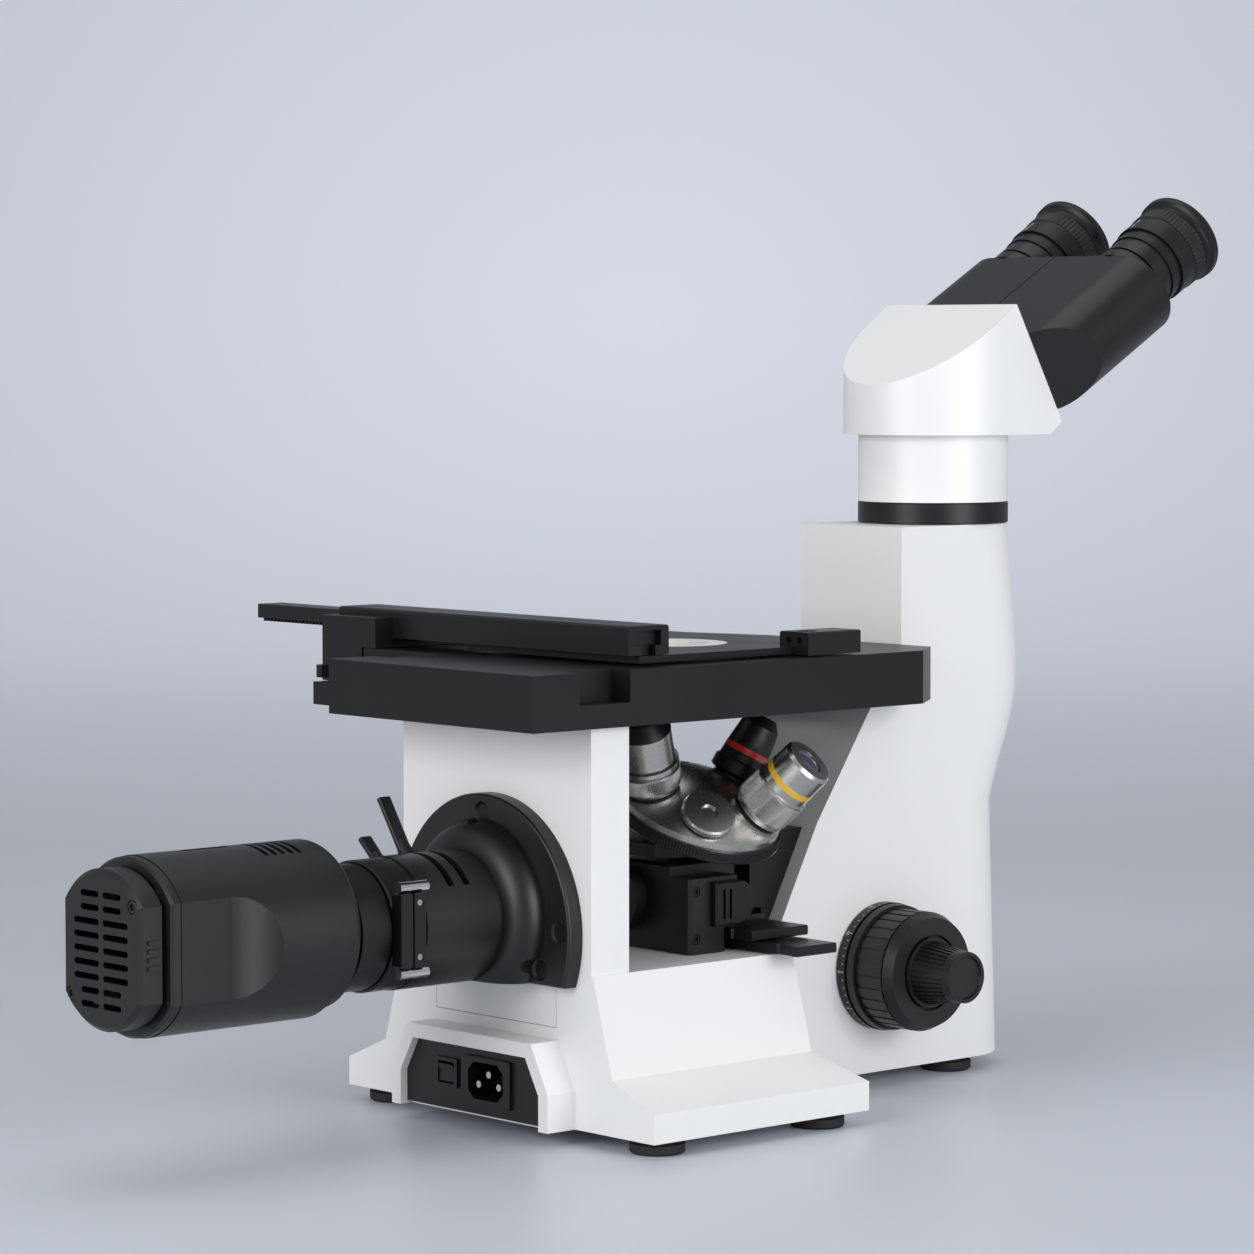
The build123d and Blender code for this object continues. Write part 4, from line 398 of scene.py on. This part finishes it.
# Scales of the two diopter rings, from 5 down to 1 and up again to 5 in odd steps
SCALE_R = 21.02
SCALE_START = 150            # degrees round the ring
SCALE_STEP = 11
SCALE_MARKS, SCALE_NUMERALS = 3.2, 7.2
for hand in ("left", "right"):
    joint = joints[f"diopter_{hand}_turn"]
    centre = np.array(joint["pos_m"])
    axis = np.array(joint["axis"])
    ring_body, tube_body = f"diopter_{hand}", f"eye_{hand}"
    marks = [(SCALE_START + SCALE_STEP * k, tick(0.35, 3.2 if k % 2 == 0 else 2.0)) for k in range(11)]
    wrap(f"diopter_marks_{hand}", marks, centre, axis, SCALE_R, SCALE_MARKS, paint_white, ring_body)
    numerals = [(SCALE_START + 2 * SCALE_STEP * k, letters(str(abs(k * 2 - 5)), 2.4)) for k in range(6)]
    wrap(f"diopter_numerals_{hand}", numerals, centre, axis, SCALE_R, SCALE_NUMERALS, paint_white, ring_body)
    # Ribs of the grip above the scale, the soft rim of the eyecup and the eye lens below it
    turned(f"diopter_ribs_{hand}", centre, axis,
           band(r_in=20.7, r_out=21.5, low=11.0, high=19.0, edge=0.3), abs_black, ring_body,
           around=360, wave=0.5, count=60)
    turned(f"eyecup_rim_{hand}", centre, axis,
           [(17.2, 27.6), (22.6, 26.4), (23.3, 27.0), (22.9, 27.9), (19.0, 28.4), (17.4, 28.3)],
           foot_rubber, tube_body, around=96)
    turned(f"eye_lens_{hand}", centre, axis, button(14.2, low=20.7, high=21.4, crown=1.4), lens_glass,
           tube_body, around=72)


# Screws


def screw(name, place, axis, radius, high, mat, body, around=48, bevel=0.2, core=0.02):
    """A cap screw with a hexagon socket: a turned head whose inner wall has six flats.
    The socket's radius is a / cos(angle - nearest flat), where a is half the width across flats
    and half the head's radius. core is the radius of the hair-fine bore left on the axis."""
    side, up, along = axes_of(axis)
    angle = np.linspace(0, 2 * math.pi, around, endpoint=False)
    flat = (angle + math.pi / 6) % (math.pi / 3) - math.pi / 6
    hexagon = 0.5 * radius / np.cos(flat)
    socket_floor = high * 0.35
    ring = np.ones_like(angle)
    loop = [(core * ring, 0), (radius * ring, 0), (radius * ring, high - bevel),
            ((radius - bevel) * ring, high), (hexagon, high), (hexagon, socket_floor),
            (core * ring, socket_floor)]
    r = np.stack([radii for radii, _ in loop], 1) * MM
    h = np.array([level for _, level in loop])[None] * MM * np.ones_like(r)
    points = (np.array(place) * MM + r[..., None] * (np.cos(angle)[:, None, None] * side
              + np.sin(angle)[:, None, None] * up) + h[..., None] * along)
    return piece_from(name, points, grid_faces(around, len(loop)), mat, body)


def corners_mm(node):
    """Lowest and highest corner of a CAD piece's box, in mm."""
    low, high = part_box(node)
    return np.array(low) / MM, np.array(high) / MM


# Four screws hold the illuminator's cover on its near side: (y, z) of each
COVER_SCREWS = ((24, 106), (24, 84), (-1.0, 106), (-1.0, 97))
COVER_SEAT = 1.7             # a head starts this far inside the cover's outermost face
cover_low = corners_mm("illuminator_cover")[0]
for k, (y, z) in enumerate(COVER_SCREWS):
    screw(f"cover_screw_{k + 1}", (cover_low[0] + COVER_SEAT, y, z), (-1, 0, 0), 2.45, 1.5, anodised_black,
          "frame")

# Two screws in opposite corners of the lamp housing's end cap: (x, z) from its middle
CAP_SCREWS = ((22.5, -20.5), (-22.5, 20.5))
CAP_SEAT = 1.5
cap_low, cap_high = corners_mm("lamp_cap")
cap_middle_z = ((cap_low + cap_high) / 2)[2]
for k, (x, z) in enumerate(CAP_SCREWS):
    screw(f"cap_screw_{k + 1}", (x, cap_high[1] - CAP_SEAT, cap_middle_z + z), (0, 1, 0), 2.8, 1.3, abs_black,
          "frame")

# Two set screws in the clamp bars, above and below the tube's axis, near the bars' front end
TUBE_Z = 100
BAR_SEAT, BAR_INSET = 1.6, 3.2
bar_low = corners_mm("clamp_bars")[0]
for k, z in enumerate((13, -11)):
    screw(f"clamp_set_screw_{k + 1}", (bar_low[0] + BAR_SEAT, bar_low[1] + BAR_INSET, TUBE_Z + z), (-1, 0, 0),
          1.5, 1.2, bright_steel, "frame")


# Studio: everything here is in metres
# Floor and backdrop are one sheet: level under the object, then a quarter round up behind it,
# point = run * forward + across * right + rise * up
FORWARD_X, FORWARD_Y = 0.7445, -0.6676      # level direction in which the photograph was taken
SHEET_FRONT, BEND_START, BEND_R, SHEET_TOP = -3.5, 2.6, 1.4, 5.0
HALF_WIDTH = 6
angle = np.linspace(0, math.pi / 2, 24)
run = np.concatenate([[SHEET_FRONT], BEND_START + BEND_R * np.sin(angle), [BEND_START + BEND_R]])
rise = np.concatenate([[0.0], BEND_R * (1 - np.cos(angle)), [SHEET_TOP]])
forward = np.array((FORWARD_X, FORWARD_Y, 0.0))
right = np.array((FORWARD_Y, -FORWARD_X, 0.0))
across = np.linspace(-HALF_WIDTH, HALF_WIDTH, 9)
sheet = (run[:, None, None] * forward + across[None, :, None] * right
         + rise[:, None, None] * np.array((0, 0, 1.0)))
i, j = np.meshgrid(np.arange(len(run) - 1), np.arange(len(across) - 1), indexing="ij")
n = len(across)
corners = [i * n + j, (i + 1) * n + j, (i + 1) * n + j + 1, i * n + j + 1]
quads = np.stack(corners, -1).reshape(-1, 4).tolist()
floor_mesh = bpy.data.meshes.new("studio_floor")
floor_mesh.from_pydata(sheet.reshape(-1, 3), [], quads)
floor_mesh.shade_smooth()
floor = bpy.data.objects.new("studio_floor", floor_mesh)
bpy.context.scene.collection.objects.link(floor)
# Pale grey-blue satin sheet: it keeps a soft mirror image of the feet
sheet_finish = finish("studio_sheet", "#D0D5DE", 0.38, ior=1.45)
floor_mesh.materials.append(sheet_finish)
# Painted light on the upright part: an emitted glow that only the camera sees, brightest behind the object
# and falling off to the corners
BACKDROP_AWAY, BACKDROP_HIGH = 3.6, 0.35
PAINTED_GLOW, GLOW_REACH = 0.43, 2.6
tree = sheet_finish.node_tree
backdrop_middle = forward * BACKDROP_AWAY + np.array((0, 0, BACKDROP_HIGH))
ray = add(tree, "ShaderNodeLightPath")
spot = add(tree, "ShaderNodeTexCoord")
away = add(tree, "ShaderNodeVectorMath", {"operation": "DISTANCE"}, Vector=spot.outputs["Object"])
away.inputs[1].default_value = backdrop_middle
painted_glow = add(tree, "ShaderNodeMapRange",
           {"From Min": 0.0, "From Max": GLOW_REACH, "To Min": PAINTED_GLOW, "To Max": 0.0},
           Value=away.outputs["Value"])
seen = add(tree, "ShaderNodeMath", {"operation": "MULTIPLY"})
tree.links.new(painted_glow.outputs["Result"], seen.inputs[0])
tree.links.new(ray.outputs["Is Camera Ray"], seen.inputs[1])
tree.links.new(seen.outputs["Value"], tree.nodes["Principled BSDF"].inputs["Emission Strength"])
# Colour of the painted glow on the backdrop
tree.nodes["Principled BSDF"].inputs["Emission Color"].default_value = linear("#E4E8F2")

world = bpy.data.worlds.new("studio")
bpy.context.scene.world = world
world.use_nodes = True
backdrop_light = world.node_tree.nodes["Background"]
backdrop_light.inputs["Color"].default_value = linear("#EDEEF0")
backdrop_light.inputs["Strength"].default_value = 0.5


def softbox(name, place, aim, size, power):
    """A rectangular area lamp of size (width, height) in metres and power in watts that points at aim."""
    lamp = bpy.data.lights.new(name, "AREA")
    lamp.shape = "RECTANGLE"
    lamp.size, lamp.size_y = size
    lamp.energy = power
    obj = bpy.data.objects.new(name, lamp)
    obj.location = place
    obj.rotation_euler = (Vector(aim) - Vector(place)).to_track_quat("-Z", "Y").to_euler()
    bpy.context.scene.collection.objects.link(obj)


# Key on the near side, fill from the rear, and a weak one overhead
softbox("key_box", place=(-2.4, -0.1, 0.7), aim=(0, 0, 0.2), size=(1.3, 1.3), power=30)
softbox("fill_box", place=(-0.2, 2.4, 0.9), aim=(0, 0.1, 0.2), size=(1.4, 1.4), power=32)
softbox("top_box", place=(0.1, 0.0, 2.1), aim=(0, 0, 0.2), size=(1.6, 1.6), power=8)

# Camera solved from the photograph's straight edges
CAMERA_PLACE = (-1.51326, 1.38247, 0.35699)
SENSOR, LENS = 36, 125.7     # mm
PITCH_DOWN = 3.69            # degrees
camera_data = bpy.data.cameras.new("photo_camera")
camera_data.sensor_width = SENSOR
camera_data.lens = LENS
camera_data.clip_end = 20
camera = bpy.data.objects.new("photo_camera", camera_data)
camera.location = Vector(CAMERA_PLACE)
pitch = math.radians(PITCH_DOWN)
look = Vector((forward[0] * math.cos(pitch), forward[1] * math.cos(pitch), -math.sin(pitch)))
camera.rotation_euler = look.to_track_quat("-Z", "Y").to_euler()
bpy.context.scene.collection.objects.link(camera)
bpy.context.scene.camera = camera
bpy.context.scene.view_settings.view_transform = "Standard"
